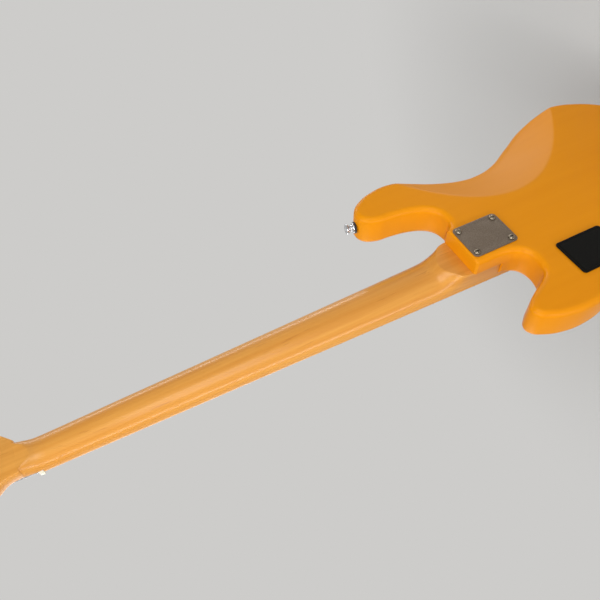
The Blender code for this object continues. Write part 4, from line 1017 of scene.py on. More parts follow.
box = over_battery(0.0, 0.0042, BACK_Y + GAP, box_high.y, 8)
round_edges(box, 0.0006, 3, angle=60)
cut(box, over_battery(0.004, 0.003, 0.0518, 0.055), over_battery(0.008, 0.003, box_low.y, 0.053),
    operation="UNION")
half_x, half_z = FLANGE[0] / 2 - RECESS_INSET, FLANGE[1] / 2 - RECESS_INSET
cut(box, block((cx - half_x, LEDGE, cz - half_z), (cx + half_x, BOX_OPEN, cz + half_z)),
    over_battery(0.011, 0.002, 0.026, BOX_OPEN), hinge_rod(0.002, 0.001, 20))
finished(box, "battery_box_moulded", BLACK, "battery_box")

lid = block((cx - lid_half, lid_low.y, cz - FLANGE[1] / 2 + LID_INSET), (cx + lid_half, lid_high.y, hinge_z))
cut(lid, hinge_rod(0.0, lid_thick / 2, 32), hinge_rod(0.0012, 0.0007, 16), operation="UNION")
cut(lid, pin(cx, cz - FLANGE[1] / 2 - 0.0008, hinge_y - PAST, hinge_y + PAST, NOTCH_RADIUS, 40))
round_edges(lid, 0.00035, 2, angle=50)
finished(lid, "battery_lid_moulded", BLACK, "battery_lid", body="battery_cover")
print("battery box:", [round(v * 1000, 1) for v in (box_high - box_low)], "mm")

# %% [markdown]
# The fretboard is a second slab of maple, 6 mm thick, glued on the neck, with a face that is a shallow
# arc of 254 mm radius. A flat grid gets the arc from a formula and is then extruded down to the glue
# line. Each fret is one wire, pressed into the face: a straight rod is made once, copied, and bent to
# the arc at its own width. The dots are thin discs let in flush, on the face and on the bass edge.

# %% Fretboard, frets and dots
FRETS = 20
SCALE_LENGTH = 0.864
BOARD_RADIUS = 0.254
BOARD_STEPS = 24
FRET_HALF_WIDE = 0.00125
FRET_CROWN = 0.00105


def fret_z(number):
    """Equal temperament places each fret."""
    return -SCALE_LENGTH * (1 - 2 ** (-number / 12))


def board_y(x):
    """The depth of the cambered face."""
    return BOARD_RADIUS - sqrt(BOARD_RADIUS ** 2 - x ** 2)


bpy.ops.mesh.primitive_grid_add(x_subdivisions=BOARD_STEPS, y_subdivisions=BOARD_STEPS, size=1.0)
board = bpy.context.object
for vert in board.data.vertices:
    z = NECK_END * (vert.co.y + 0.5)
    x = 2 * vert.co.x * half_width(z)
    vert.co = (x, board_y(x), z)
choose(board)
bpy.ops.mesh.extrude_region_move(TRANSFORM_OT_translate={"value": (0, BOARD_THICK, 0)})
bpy.ops.transform.resize(value=(1, 0, 1), center_override=(0, BOARD_THICK - GAP / 2, 0))
close_edit(board, merge=MERGE)
round_edges(board, 0.0006, 3, angle=60)
finished(board, "fretboard_maple", MAPLE, "fretboard")

wire = rod((-1, 0, 0), (1, 0, 0), 1.0, 20)
choose(wire)
for place in [side * (1 - 0.02 * n) for n in range(1, 4) for side in (-1, 1)] + [n / 8 for n in range(-7, 8)]:
    slice_mesh(place)
close_edit(wire)
for number in range(1, FRETS + 1):
    z = fret_z(number)
    fret = copied(wire, Matrix())
    for vert in fret.data.vertices:
        x = vert.co.x * (half_width(z) - 0.0003)
        dome = min(1.0, 0.55 + 9 * (1 - abs(vert.co.x)))
        vert.co = (x, board_y(x) + vert.co.y * FRET_CROWN * dome, z + vert.co.z * FRET_HALF_WIDE)
    finished(fret, f"fret_{number:02d}", STEEL)
drop(wire)

for number in (3, 5, 7, 9, 12, 15, 17, 19):
    z = (fret_z(number) + fret_z(number - 1)) / 2
    for side, x in enumerate((-0.0115, 0.0115) if number == 12 else (0.0,)):
        dot = pin(x, z, board_y(x) - 0.00004, board_y(x) + 0.001, 0.0031, 32)
        finished(dot, f"face_dot_{number}_{side}", BLACK)
    for side in range(2 if number == 12 else 1):
        at = z + (side - 0.5) * 0.008 if number == 12 else z
        dot = rod((-half_width(at) + 0.001, 0.0032, at), (-half_width(at) - 0.00003, 0.0032, at), 0.001, 20)
        finished(dot, f"side_dot_{number}_{side}", BLACK)
print("frets:", FRETS, "last at", round(fret_z(FRETS), 4))

# %% [markdown]
# The nut is a small bar of bone in a step at the end of the board, with a slot filed for each string.
# A slot is a bore of the string's thickness, opened upwards, so the string lies at its bottom.

# %% Nut
STRING_RADIUS = {"E": 0.0013, "A": 0.00105, "D": 0.00082, "G": 0.00057}
NUT_STRING_Y = -0.0016
SADDLE_STRING_Y = -0.005
SADDLE_Z = {"E": -0.868, "A": -0.8668, "D": -0.8658, "G": -0.8648}


def string_x(name, z):
    """The string's distance from the centre line."""
    return (STRINGS.index(name) - 1.5) * mix(0.01, 0.019, z / -SCALE_LENGTH)


def string_y(name, z):
    """The depth of the string's centre over the board."""
    return mix(NUT_STRING_Y, SADDLE_STRING_Y, z / SADDLE_Z[name]) - STRING_RADIUS[name]


nut = block((-0.0196, -0.0028, 0.0003), (0.0196, BOARD_THICK - GAP / 2, 0.0051))
for name in STRINGS:
    room = STRING_RADIUS[name] + GAP
    x, y = string_x(name, 0.0), string_y(name, 0.0)
    cut(nut, rod((x, y, -0.01), (x, y, 0.02), room, 24), block((x - room, -0.02, -0.01), (x + room, y, 0.02)))
round_edges(nut, 0.0004, 3, angle=50)
finished(nut, "nut_bone", BONE, "nut")

# %% [markdown]
# A string is one wire from its ball behind the bridge, over the saddle and the nut, to its turns on the
# tuner's post. The path is a list of points with a round section swept along it. The three thick
# strings are wound, which the finish shows as ridges, with painted shade darkening the grooves
# between the wraps; the thin one is plain steel.

# %% Strings
BRIDGE_REAR_Z = -0.893
POST_WAIST = 0.0059
WIND_GAP = 0.00035
WIND_TURNS = 2
WIND_STEPS = 32
TREE_UNDER = 0.0003
TREE_RADIUS = 0.0078


def tube(points, radius, sides=3, radii=None):
    """A round wire through a list of points."""
    curve = bpy.data.curves.new("wire", "CURVE")
    curve.dimensions = "3D"
    curve.bevel_depth = radius
    curve.bevel_resolution = sides
    curve.use_fill_caps = True
    spline = curve.splines.new("POLY")
    spline.points.add(len(points) - 1)
    for number, where in enumerate(points):
        spline.points[number].co = (*where, 1)
        spline.points[number].radius = radii[number] if radii else 1.0
    piece = bpy.data.objects.new("wire", curve)
    bpy.context.scene.collection.objects.link(piece)
    pick(piece)
    bpy.ops.object.convert(target="MESH")
    piece = bpy.context.object
    choose(piece)
    return close_edit(piece, merge=MERGE / 2)


for name in STRINGS:
    radius = STRING_RADIUS[name]
    ring = POST_WAIST + WIND_GAP + radius
    x_post, z_post = posts[name]
    points = []
    for step in range(WIND_TURNS * WIND_STEPS, -1, -1):
        angle = 2 * pi * step / WIND_STEPS
        points.append((x_post + ring * cos(angle), 0.003 - (2 * radius + 0.0005) * step / WIND_STEPS,
                       z_post + ring * sin(angle)))
    if name in ("D", "G"):
        for z in (TREE_PLACE[1] + TREE_RADIUS, TREE_PLACE[1] - TREE_RADIUS):
            points.append((string_x(name, z), TREE_UNDER + GAP + radius, z))
    saddle_z = SADDLE_Z[name]
    for z in (0.0056, 0.0, saddle_z + 0.0015, saddle_z, saddle_z - 0.0015, saddle_z - 0.004):
        points.append((string_x(name, z), string_y(name, min(z, 0.0)), z))
    x = string_x(name, saddle_z)
    for behind in (0.004, -0.0005, -0.0006, -0.001, -0.003, -0.005, -0.0052):
        points.append((x, -0.004, BRIDGE_REAR_Z + behind))
    ball = 0.0024 / radius
    radii = [1.0] * (len(points) - 5) + [ball * 0.8, ball, ball * 0.96, ball, ball * 0.8]
    string = tube(points, radius, 3, radii)
    finished(string, f"string_{name}_wire", STEEL if name == "G" else WOUND, f"string_{name}", angle=50)
print("strings:", len(STRINGS))

# %% [markdown]
# The open-gear tuner is the bass's finest mechanism. A stamped plate carries two bearings; between them
# runs a worm on the key's shaft, and it turns a toothed gear on the post's foot. Each part is modelled
# once at the origin, and a matrix sets the four copies in a row along the headstock. The plate stays on
# the headstock, the post with its gear and the key with its worm ride on their own joints.

# %% Tuners
POST_TOP = 0.0345
GEAR_MID = 0.0062
GEAR_TEETH = 20
GEAR_TIP = 0.008
GEAR_ROOT = 0.0069
WORM_OFFSET = 0.0112
WORM_OUTER = 0.0037
KEY_SHAFT = 0.002
KEY_CENTRE = -0.0385
PLATE_TOP = 0.0021
PLATE_SCREWS = ((-0.013, -0.0115), (0.011, -0.0115), (-0.013, 0.0175), (0.011, 0.0175))

first, last = posts["E"], posts["G"]
head_tilt = atan2(last[0] - first[0], last[1] - first[1])
seats = {name: Matrix.Translation((x, HEAD_BACK, z)) @ Matrix.Rotation(head_tilt, 4, "Y")
         for name, (x, z) in posts.items()}

tuner_plate = drawn(rounded(0.029, 0.034, 0.003, (-0.001, 0.003), 6), GAP, PLATE_TOP)
for low_x in (-0.0105, 0.0085):
    bearing = block((low_x, 0.0012, WORM_OFFSET - 0.0042), (low_x + 0.002, GEAR_MID, WORM_OFFSET + 0.0042))
    cut(bearing, rod((low_x, GEAR_MID, WORM_OFFSET), (low_x + 0.002, GEAR_MID, WORM_OFFSET), 0.0042, 32),
        operation="UNION")
    cut(tuner_plate, bearing, operation="UNION")
cut(tuner_plate, rod((-0.02, GEAR_MID, WORM_OFFSET), (0.02, GEAR_MID, WORM_OFFSET), KEY_SHAFT + GAP, 24),
    pin(0, 0, -0.01, 0.01, 0.0047, 32))
round_edges(tuner_plate, 0.00025, 2, angle=50)

tuner_post = turned([
    (0.0, POST_TOP), (0.0058, POST_TOP), (0.0062, POST_TOP - 0.0003), (0.0067, POST_TOP - 0.0026),
    (0.0066, POST_TOP - 0.0036), (0.0061, POST_TOP - 0.0052), (POST_WAIST, POST_TOP - 0.0068),
    (POST_WAIST, 0.0178), (0.0061, 0.017), (0.0063, 0.0162), (0.0063, 0.001), (0.004, 0.001),
    (0.004, -GEAR_MID + 0.0021), (0.0, -GEAR_MID + 0.0021)], axis=(0, -1, 0), steps=40)
cut(tuner_post, block((-0.02, -POST_TOP - 0.01, -0.0016), (0.02, -POST_TOP + 0.0075, 0.0016)))
round_edges(tuner_post, 0.0002, 2, angle=60)

teeth = []
pitch = 2 * pi / GEAR_TEETH
for tooth in range(GEAR_TEETH):
    middle = pi / 2 + pitch * (tooth + 0.5)
    for turn, radius in ((-0.5, GEAR_ROOT), (-0.33, GEAR_ROOT), (-0.22, 0.0074), (-0.13, GEAR_TIP),
                         (0.13, GEAR_TIP), (0.22, 0.0074), (0.33, GEAR_ROOT)):
        teeth.append((radius * cos(middle + turn * pitch), radius * sin(middle + turn * pitch)))
gear = drawn(teeth, GEAR_MID - 0.002, GEAR_MID + 0.002)
cut(gear, turned([(0.0, 0.0036), (0.002, 0.0036), (0.0025, 0.0032), (0.0028, 0.0019), (0.0, 0.0015)],
                 (0, GEAR_MID, 0), (0, 1, 0), 28), operation="UNION")
cut(gear, block((-0.003, GEAR_MID + 0.0026, -0.0004), (0.003, GEAR_MID + 0.01, 0.0004)))
round_edges(gear, 0.0001, 1, angle=60)

tuner_key = turned([
    (0.0, 0.012), (0.0025, 0.012), (0.0028, 0.0117), (0.0028, 0.0108), (KEY_SHAFT, 0.0108),
    (KEY_SHAFT, 0.0078), (0.0027, 0.0074), (0.0027, -0.0074), (KEY_SHAFT, -0.0078), (KEY_SHAFT, -0.0112),
    (0.0034, -0.0112), (0.0035, -0.0124), (0.0033, -0.0136), (0.0025, -0.0152), (0.0023, -0.02),
    (0.0024, -0.025), (0.0029, -0.0272), (0.0034, -0.029), (0.003, -0.0315), (0.0, -0.033)],
    (0, GEAR_MID, WORM_OFFSET), (1, 0, 0), 28)
lobes = []
for step in range(72):
    angle = 2 * pi * step / 72
    radius = 0.0112 + 0.0022 * cos(3 * angle)
    lobes.append((KEY_CENTRE - radius * cos(angle), WORM_OFFSET + radius * sin(angle)))
clover = drawn(lobes, GEAR_MID - 0.0018, GEAR_MID + 0.0018)
round_edges(clover, 0.0013, 4, angle=60)
cut(tuner_key, clover, operation="UNION")
worm_pitch = 2 * pi * (GEAR_TIP - 0.00035) / GEAR_TEETH
thread = []
for step in range(3 * 28 + 1):
    angle = 2 * pi * (step / 28 - 1.5)
    radius = WORM_OUTER - 0.00052
    thread.append((worm_pitch * angle / (2 * pi), GEAR_MID - radius * sin(angle),
                   WORM_OFFSET - radius * cos(angle)))
cut(tuner_key, tube(thread, 0.00052, 1), operation="UNION")

rim = HEAD_BACK - HEAD_FRONT + GAP
bushing = turned([(0.0098, 0.0159), (0.01, 0.0157), (0.01, rim), (0.0087, rim), (0.0087, 0.0065),
                  (0.0067, 0.0065), (0.0067, 0.0157), (0.0069, 0.0159), (0.0098, 0.0159)],
                 axis=(0, -1, 0), steps=40)
for name, seat in seats.items():
    for master, label, finish, body, node in (
            (tuner_plate, "plate_stamped", CHROME, "instrument", "tuner_plate"),
            (tuner_post, "post_turned", CHROME, f"post_{name}", "tuner_post"),
            (gear, "gear_cut", BRASS, f"post_{name}", "tuner_post"),
            (tuner_key, "key_cast", CHROME, f"key_{name}", "tuner_key"),
            (bushing, "bushing_pressed", CHROME, "instrument", "tuner_bushing")):
        finished(copied(master, seat), f"tuner_{name}_{label}", finish, f"{node}_{name}", slot="chrome",
                 body=body)
    seat_screws("tuner", [(f"tuner_{name}_screw_{number}", seat @ Vector((x, PLATE_TOP, z)), number + 0.4)
                          for number, (x, z) in enumerate(PLATE_SCREWS)], (0, 1, 0))
drop(tuner_plate, tuner_post, gear, tuner_key, bushing)
print("tuners tilted by", round(degrees(head_tilt), 1), "degrees")

# %% [markdown]
# The string tree is a turned disc that holds the two thin strings down behind the nut. The truss rod is
# a steel bar in the neck's channel; its nut sits in a slot in the headstock, under a small black cover.

# %% String tree and truss rod
COVER_FRONT = 0.0059
COVER_OUTLINE = [(-0.009, 0.0215), (0.009, 0.0215), (0.01, 0.024), (0.0075, 0.056), (0.0055, 0.058),
                 (-0.0055, 0.058), (-0.0075, 0.056), (-0.01, 0.024)]
tree_x, tree_z = TREE_PLACE
tree_top = HEAD_FRONT - TREE_UNDER
tree = turned([(0.0, tree_top + 0.003), (0.003, tree_top + 0.0031), (0.0045, tree_top + 0.0029),
               (0.0066, tree_top + 0.002), (0.0076, tree_top + 0.0012), (TREE_RADIUS, tree_top + 0.0006),
               (0.0075, tree_top), (0.0026, tree_top), (0.0026, GAP), (0.0014, GAP), (0.0014, -0.0095),
               (0.0, -0.01)], (tree_x, HEAD_FRONT, tree_z), (0, -1, 0), 40)
cut(tree, block((tree_x - 0.003, -PAST, tree_z - 0.0004),
                (tree_x + 0.003, TREE_UNDER - 0.0022, tree_z + 0.0004)))
finished(tree, "string_tree_turned", CHROME, "string_tree")
finished(rod((0, ROD_Y, -0.59), (0, ROD_Y, 0.0345), 0.003, 28), "truss_rod_bar", STEEL, "truss_rod")
finished(hex_nut((0, ROD_Y, 0.0245), (0, ROD_Y, 0.036), 0.005, 0.0038), "truss_rod_hex", BRASS,
         "truss_rod_nut", body="rod_nut")
cover = drawn(COVER_OUTLINE, COVER_FRONT, HEAD_FRONT - GAP)
round_edges(cover, 0.0005, 3, angle=40)
finished(cover, "truss_rod_cover_cut", GUARD, "truss_rod_cover")
seat_screws("cover", [(f"cover_screw_{number}", (x, COVER_FRONT, z), number) for number, (x, z) in
                      enumerate(((-0.0062, 0.025), (0.0062, 0.025), (0.0, 0.054)))])
print("string tree at", TREE_PLACE)

# %% [markdown]
# The pickguard is sawn from black sheet, and its edge is bevelled back to the body, which catches the
# light as a thin line. It has a notch for the neck and a hole for the neck pickup. Small screws follow
# its edge. Their places are read off the outline, a little inside it.

# %% Pickguard
GUARD_OUTLINE = [
    (-0.055, -0.742), (-0.069, -0.715), (-0.073, -0.68), (-0.074, -0.64), (-0.081, -0.6),
    (-0.098, -0.562), (-0.116, -0.532), (-0.123, -0.508), (-0.116, -0.49), (-0.105, -0.492),
    (-0.099, -0.512), (-0.088, -0.538), (-0.07, -0.554), (-0.045, -0.559), (0.0, -0.58),
    (0.042, -0.608), (0.062, -0.612), (0.082, -0.606), (0.096, -0.5885), (0.1045, -0.569),
    (0.115, -0.558), (0.126, -0.568), (0.13, -0.595), (0.127, -0.625), (0.114, -0.66),
    (0.106, -0.695), (0.098, -0.715), (0.076, -0.719), (0.066, -0.732), (0.052, -0.745),
    (0.0, -0.75),
]
GUARD_SCREWS = [
    (-0.0575, -0.737), (-0.0685, -0.68), (-0.079, -0.592), (-0.118, -0.506), (-0.094, -0.54),
    (-0.043, -0.566), (0.046, -0.614), (0.1, -0.59), (0.124, -0.58), (0.121, -0.625),
    (0.099, -0.698), (0.062, -0.73), (0.006, -0.744),
]
GUARD_FRONT = 0.0068
GUARD_ROOM = 0.0006
GUARD_BEVEL = 0.001
GUARD_CUT = 0.02
guard = drawn(GUARD_OUTLINE, GUARD_FRONT, FRONT_Y - GAP, steps=10)
bevel_edges(guard, edges_at(1, GUARD_FRONT, 1.0), GUARD_BEVEL, 1)
cut(guard, drawn(pocket_outline(GUARD_ROOM), 0.0, GUARD_CUT),
    block((0.028, 0.0, -0.606), (0.045, GUARD_CUT, MOUTH_Z)),
    drawn(pickup_outline(*PICKUPS["neck"][:2], 0.0008), 0.0, GUARD_CUT))
finished(guard, "pickguard_cut", GUARD, "pickguard")
seat_screws("guard", [(f"guard_screw_{number:02d}", (x, GUARD_FRONT, z), 1.3 * number)
                      for number, (x, z) in enumerate(GUARD_SCREWS)])
print("guard screws:", len(GUARD_SCREWS))

# %% [markdown]
# A pickup is a moulded black cover over magnets and a coil. Two low ears on each long side carry the
# screws that hold it on springs in its cavity. Two poles stand under each string, so that the string
# swings between them. The cover is drawn and rounded by itself and then joined to its ears.

# %% Pickups
POLE_SIDE = 0.0048
POLE_RADIUS = 0.0024
POLE_DEEP = 0.0045
EAR_FRONT = 0.0052
EAR_SCREW_Z = 0.0107
PICKUP_BOTTOM = 0.03
for name, (half, centre_z, top) in PICKUPS.items():
    ears = drawn(pickup_outline(half - 0.0005, centre_z), EAR_FRONT, PICKUP_BOTTOM)
    round_edges(ears, 0.0005, 2, angle=60)
    cover = drawn(rounded(2 * half, 2 * PICKUP_HALF_WIDE, 0.003, (0.0, centre_z), 8), top,
                  PICKUP_BOTTOM - 0.001)
    round_edges(cover, 0.0013, 4, angle=60)
    cut(cover, ears, operation="UNION")
    for string in STRINGS:
        for side in (-1, 1):
            x = string_x(string, centre_z) + side * POLE_SIDE
            cut(cover, pin(x, centre_z, top - PAST, top + POLE_DEEP, POLE_RADIUS + 0.00008, 28))
            pole = pin(x, centre_z, top - 0.0008, top + POLE_DEEP, POLE_RADIUS, 28)
            finished(round_edges(pole, 0.0003, 3, angle=60), f"pickup_{name}_pole_{string}_{side + 1}", STEEL,
                     f"pickup_{name}")
    finished(cover, f"pickup_{name}_cover", BLACK, f"pickup_{name}")
    seat_screws("ear", [(f"pickup_{name}_screw_{number}",
                         (side_x * (half - EAR_INSET), EAR_FRONT, centre_z + side_z * EAR_SCREW_Z), number)
                        for number, (side_x, side_z) in enumerate(((-1, -1), (1, -1), (-1, 1), (1, 1)))])
print("pickups:", len(PICKUPS))

# %% [markdown]
# The control plate is stamped steel, polished and plated. Under it hangs the preamp board with its pots,
# and through it come the jack and the pots' shafts. A knob is a turned cap whose side is knurled, so
# that it can be gripped: every other column of points is pressed in a little. A white line on the
# knob's crown shows its setting.

# %% Control plate, knobs and jack
CONTROL_FRONT = 0.0079
KNOB_LOW = 0.0074
KNURLED_FROM = 0.0079
KNURL_STEPS = 90
KNURL_DEPTH = 0.0003
CONTROLS = {"volume": 0.056, "balance": 0.019, "tone": -0.018, "jack": -0.056}


def on_control(up_plate, y, across=0.0):
    """A place over the control plate, measured from its centre."""
    sine, cosine = sin(CONTROL_TILT), cos(CONTROL_TILT)
    return Vector((CONTROL_CENTRE[0] + across * cosine - up_plate * sine, y,
                   CONTROL_CENTRE[1] + across * sine + up_plate * cosine))


def knurled(profile, low, high):
    """A turned piece with fine ridges round its widest side, between two heights."""
    piece = turned(profile, steps=KNURL_STEPS)
    for vert in piece.data.vertices:
        radius = hypot(vert.co.x, vert.co.y)
        column = round(atan2(vert.co.y, vert.co.x) * KNURL_STEPS / (2 * pi))
        if column % 2 and low < vert.co.z < high and radius > KNURLED_FROM:
            vert.co.x *= 1 - KNURL_DEPTH / radius
            vert.co.y *= 1 - KNURL_DEPTH / radius
    return piece


control = drawn(rounded(*CONTROL_SIZE, 0.015, CONTROL_CENTRE, 12, CONTROL_TILT), CONTROL_FRONT, FRONT_Y - GAP)
for up_plate in CONTROLS.values():
    cut(control, rod(on_control(up_plate, 0.0), on_control(up_plate, 0.02), 0.0048, 28))
round_edges(control, 0.0003, 3, angle=60)
finished(control, "control_plate_stamped", CHROME, "control_plate")
seat_screws("control", [(f"control_screw_{number}", on_control(up_plate, CONTROL_FRONT, across), number + 0.3)
                        for number, (up_plate, across) in
                        enumerate(((0.0765, 0.0), (-0.0765, 0.0), (-0.037, 0.0155)))])
cap = knurled([(0.0, 0.0155), (0.0055, 0.0152), (0.0072, 0.0147), (0.0083, 0.0139), (0.0089, 0.0127),
               (0.009, 0.0117), (0.00905, 0.0112), (0.0095, 0.0013), (0.0096, 0.0006), (0.0095, 0.0),
               (0.0076, 0.0), (0.0076, 0.0038), (0.003, 0.0038), (0.003, -0.0105), (0.0, -0.0105)],
              0.001, 0.0115)
ring = knurled([(0.0019, 0.0078), (0.01, 0.0078), (0.0105, 0.0074), (0.0108, 0.0066), (0.01085, 0.0061),
                (0.0109, 0.001), (0.011, 0.0005), (0.0109, 0.0), (0.0078, 0.0), (0.0078, 0.0038),
                (0.003, 0.0038), (0.003, -0.005), (0.0019, -0.005), (0.0019, 0.0078)], 0.0009, 0.0063)
upper = knurled([(0.0, 0.0172), (0.005, 0.017), (0.0066, 0.0164), (0.0074, 0.0156), (0.0079, 0.0144),
                 (0.00802, 0.0138), (0.0082, 0.0089), (0.0082, 0.0083), (0.008, 0.0081), (0.0016, 0.0081),
                 (0.0016, -0.0105), (0.0, -0.0105)], 0.0086, 0.014)
to_front = Vector((0, -1, 0)).to_track_quat("Z", "Y").to_matrix().to_4x4()
for name, master, place, reach in (
        ("volume", cap, "volume", (0.003, 0.0082)), ("balance", cap, "balance", (0.003, 0.0082)),
        ("bass", ring, "tone", None), ("treble", upper, "tone", (0.0028, 0.0072))):
    seat = Matrix.Translation(on_control(CONTROLS[place], KNOB_LOW)) @ to_front
    finished(copied(master, seat), f"knob_{name}_knurled", CHROME, f"knob_{name}", body=f"{name}_control")
    if reach:
        line = copied(master, Matrix.Translation((0, 0, 0.00003)))
        cut(line, block((-0.00045, reach[0], 0.0135), (0.00045, reach[1], 0.02)), operation="INTERSECT")
        line.data.transform(seat)
        finished(line, f"knob_{name}_line", WHITE, body=f"{name}_control")
drop(cap, ring, upper)

jack = turned([(0.0047, 0.002), (0.0047, -0.0021), (0.0074, -0.0021), (0.0074, -0.024), (0.0033, -0.024),
               (0.0033, 0.0018), (0.0035, 0.002), (0.0047, 0.002)],
              on_control(CONTROLS["jack"], CONTROL_FRONT), (0, -1, 0), 40)
cut(jack, hex_nut(on_control(CONTROLS["jack"], CONTROL_FRONT - 0.0004),
                  on_control(CONTROLS["jack"], CONTROL_FRONT - 0.0019), 0.007, 0.0042), operation="UNION")
finished(jack, "output_jack_turned", CHROME, "output_jack")

circuit = drawn(rounded(0.024, 0.112, 0.002, tuple(on_control(0.016, 0.0).xz), 3, CONTROL_TILT),
                0.023, 0.0246)
finished(circuit, "preamp_circuit_board", BOARD, "preamp")
POT = [(0.0, 0.0135), (0.0078, 0.0135), (0.0082, 0.0131), (0.0082, 0.0), (0.0044, 0.0), (0.0044, -0.0045),
       (0.0033, -0.0045), (0.0033, 0.0105), (0.0, 0.0105)]
for name in ("volume", "balance", "tone"):
    can = turned(POT, on_control(CONTROLS[name], 0.0095), (0, 1, 0), 36)
    cut(can, hex_nut(on_control(CONTROLS[name], 0.0056), on_control(CONTROLS[name], 0.0076), 0.0064, 0.004),
        operation="UNION")
    finished(can, f"preamp_pot_{name}", SATIN, "preamp")
for number in range(5):
    chip = block((-0.003, 0.0, -0.004), (0.003, 0.0018, 0.004))
    chip.location = on_control(-0.006 + 0.0135 * number, 0.0246, -0.004)
    finished(round_edges(apply_place(chip), 0.0003, 2), f"preamp_chip_{number}", BLACK, "preamp")
print("controls:", len(CONTROLS))

# %% [markdown]
# The bridge is a bent steel plate whose rear wall holds the strings and four long intonation screws.
# Each screw runs through its saddle, a turned barrel with a string groove, and a spring on the screw
# pushes the saddle forward. Two height screws stand in the barrel as legs. The spring stretches
# between the wall and its saddle.

# %% Bridge, saddles and springs
BRIDGE_HALF = 0.041
BRIDGE_TOP_Z = -0.838
BRIDGE_FRONT = 0.0073
BRIDGE_BACK = 0.0092
BRIDGE_SCREWS = ((-0.034, -0.844), (0.0, -0.844), (0.034, -0.844), (-0.0355, -0.885), (0.0355, -0.885))
WALL_HALF = 0.04
WALL_FRONT = -0.008
SCREW_Y = 0.001
SCREW_HOLE = 0.0018
STRING_HOLE_Y = -0.004
SADDLE_Y = -0.0008
SADDLE_HALF = 0.0086
SPRING_RING = 0.0023
SPRING_WIRE = 0.0004
SPRING_TURNS = 4
SPRING_STEPS = 24
LEG_SIDE = 0.0058


def front_corner(edge):
    """An edge through the wall's thickness, at one of its two front corners."""
    first, second = (vert.co for vert in edge.verts)
    return hypot(first.x - second.x, first.y - second.y) < 1e-6 and first.y < 0


bridge = drawn(rounded(2 * BRIDGE_HALF, BRIDGE_TOP_Z - BRIDGE_REAR_Z, 0.003,
                       (0.0, (BRIDGE_TOP_Z + BRIDGE_REAR_Z) / 2), 6), BRIDGE_FRONT, BRIDGE_BACK)
wall = block((-WALL_HALF, WALL_FRONT, BRIDGE_REAR_Z), (WALL_HALF, BRIDGE_BACK, BRIDGE_REAR_Z + 0.002))
bevel_edges(wall, front_corner, 0.003, 6)
cut(bridge, wall, operation="UNION")
for name in STRINGS:
    x = string_x(name, SADDLE_Z[name])
    for y, radius in ((STRING_HOLE_Y, STRING_RADIUS[name] + GAP), (SCREW_Y, SCREW_HOLE)):
        cut(bridge, rod((x, y, BRIDGE_REAR_Z - PAST), (x, y, BRIDGE_REAR_Z + PAST), radius, 24))
round_edges(bridge, 0.0003, 2, angle=60)
finished(bridge, "bridge_plate_bent", CHROME, "bridge_plate")
seat_screws("bridge", [(f"bridge_screw_{number}", (x, BRIDGE_FRONT, z), number)
                       for number, (x, z) in enumerate(BRIDGE_SCREWS)])
seat_screws("intonation", [(f"intonation_screw_{name}",
                            (string_x(name, SADDLE_Z[name]), SCREW_Y, BRIDGE_REAR_Z - 0.0001), 0.4,
                            "bridge_plate") for name in STRINGS], axis=(0, 0, -1))

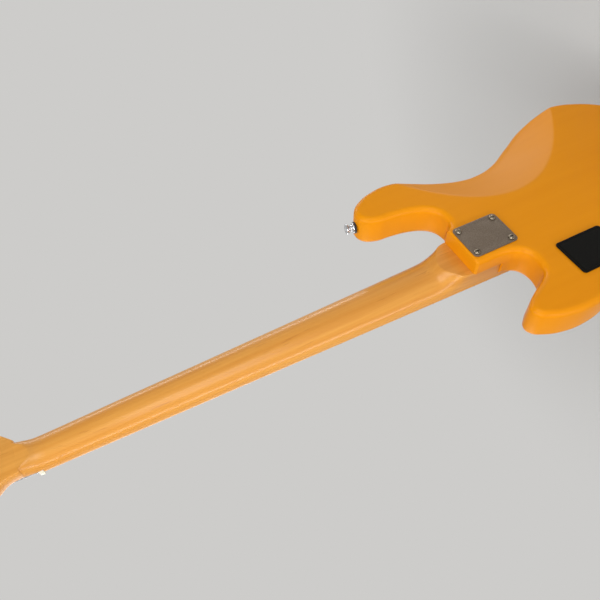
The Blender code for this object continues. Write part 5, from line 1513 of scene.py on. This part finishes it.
half_barrel = [(0.0, SADDLE_HALF), (0.0041, SADDLE_HALF), (0.0045, SADDLE_HALF - 0.0004), (0.0045, 0.0022),
               (0.0043, 0.0019), (0.0039, 0.0013)]
barrel_profile = half_barrel + [(radius, -height) for radius, height in reversed(half_barrel)]
for name, saddle_z in SADDLE_Z.items():
    x = string_x(name, saddle_z)
    rides = f"saddle_body_{name}"
    barrel = turned(barrel_profile, (x, SADDLE_Y, saddle_z), (1, 0, 0), 40)
    cut(barrel, rod((x, SCREW_Y, saddle_z - PAST), (x, SCREW_Y, saddle_z + PAST), SCREW_HOLE, 24))
    finished(barrel, f"saddle_{name}_barrel", CHROME, f"saddle_{name}", body=rides)
    for side in (-1, 1):
        leg_x = x + side * LEG_SIDE
        leg = pin(leg_x, saddle_z, SADDLE_Y - 0.0044, 0.007, 0.0014)
        cut(leg, pin(leg_x, saddle_z, SADDLE_Y - 0.006, SADDLE_Y - 0.003, 0.0007, 6))
        finished(round_edges(leg, 0.0002, 2, angle=60), f"saddle_{name}_leg_{side + 1}", STEEL,
                 f"saddle_{name}", body=rides)
    low_z, high_z = BRIDGE_REAR_Z + 0.0027, saddle_z - 0.0052
    coil = []
    for step in range(SPRING_TURNS * SPRING_STEPS + 1):
        angle = 2 * pi * step / SPRING_STEPS
        coil.append((x + SPRING_RING * cos(angle), SCREW_Y + SPRING_RING * sin(angle),
                     mix(low_z, high_z, step / (SPRING_TURNS * SPRING_STEPS))))
    spring = finished(tube(coil, SPRING_WIRE, 2), f"saddle_spring_{name}_coil", STEEL,
                      f"saddle_spring_{name}", body=None)
    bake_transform(spring)
print("saddles:", len(STRINGS))

# %% [markdown]
# Two nine-volt batteries lie side by side in the box, seen when the lid is open. Each is a rounded
# sheet jacket with a black end, which carries two snap studs, one wide and one narrow.

# %% Batteries
for number, side in enumerate((-1, 1), 1):
    middle = cx + side * 0.0093
    jacket = block((middle - 0.00875, 0.0263, cz - 0.024), (middle + 0.00875, 0.0527, cz + 0.0205))
    round_edges(jacket, 0.0018, 4, angle=60)
    finished(jacket, f"battery_{number}_jacket", CELL, f"battery_{number}")
    end = block((middle - 0.0083, 0.0267, cz + 0.02), (middle + 0.0083, 0.0523, cz + 0.022))
    round_edges(end, 0.0004, 2, angle=60)
    finished(end, f"battery_{number}_end", BLACK, f"battery_{number}")
    for label, y, radius in (("wide", 0.033, 0.0034), ("narrow", 0.046, 0.0027)):
        stud = turned([(0.0, 0.003), (radius * 0.7, 0.003), (radius * 0.8, 0.0026), (radius * 0.8, 0.0012),
                       (radius, 0.0009), (radius, 0.0), (0.0, 0.0)], (middle, y, cz + 0.0215), (0, 0, 1), 28)
        finished(stud, f"battery_{number}_stud_{label}", CHROME, f"battery_{number}")
print("batteries: 2")

# %% [markdown]
# The last step finds the box round everything that was made.

# %% Finish
low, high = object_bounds()
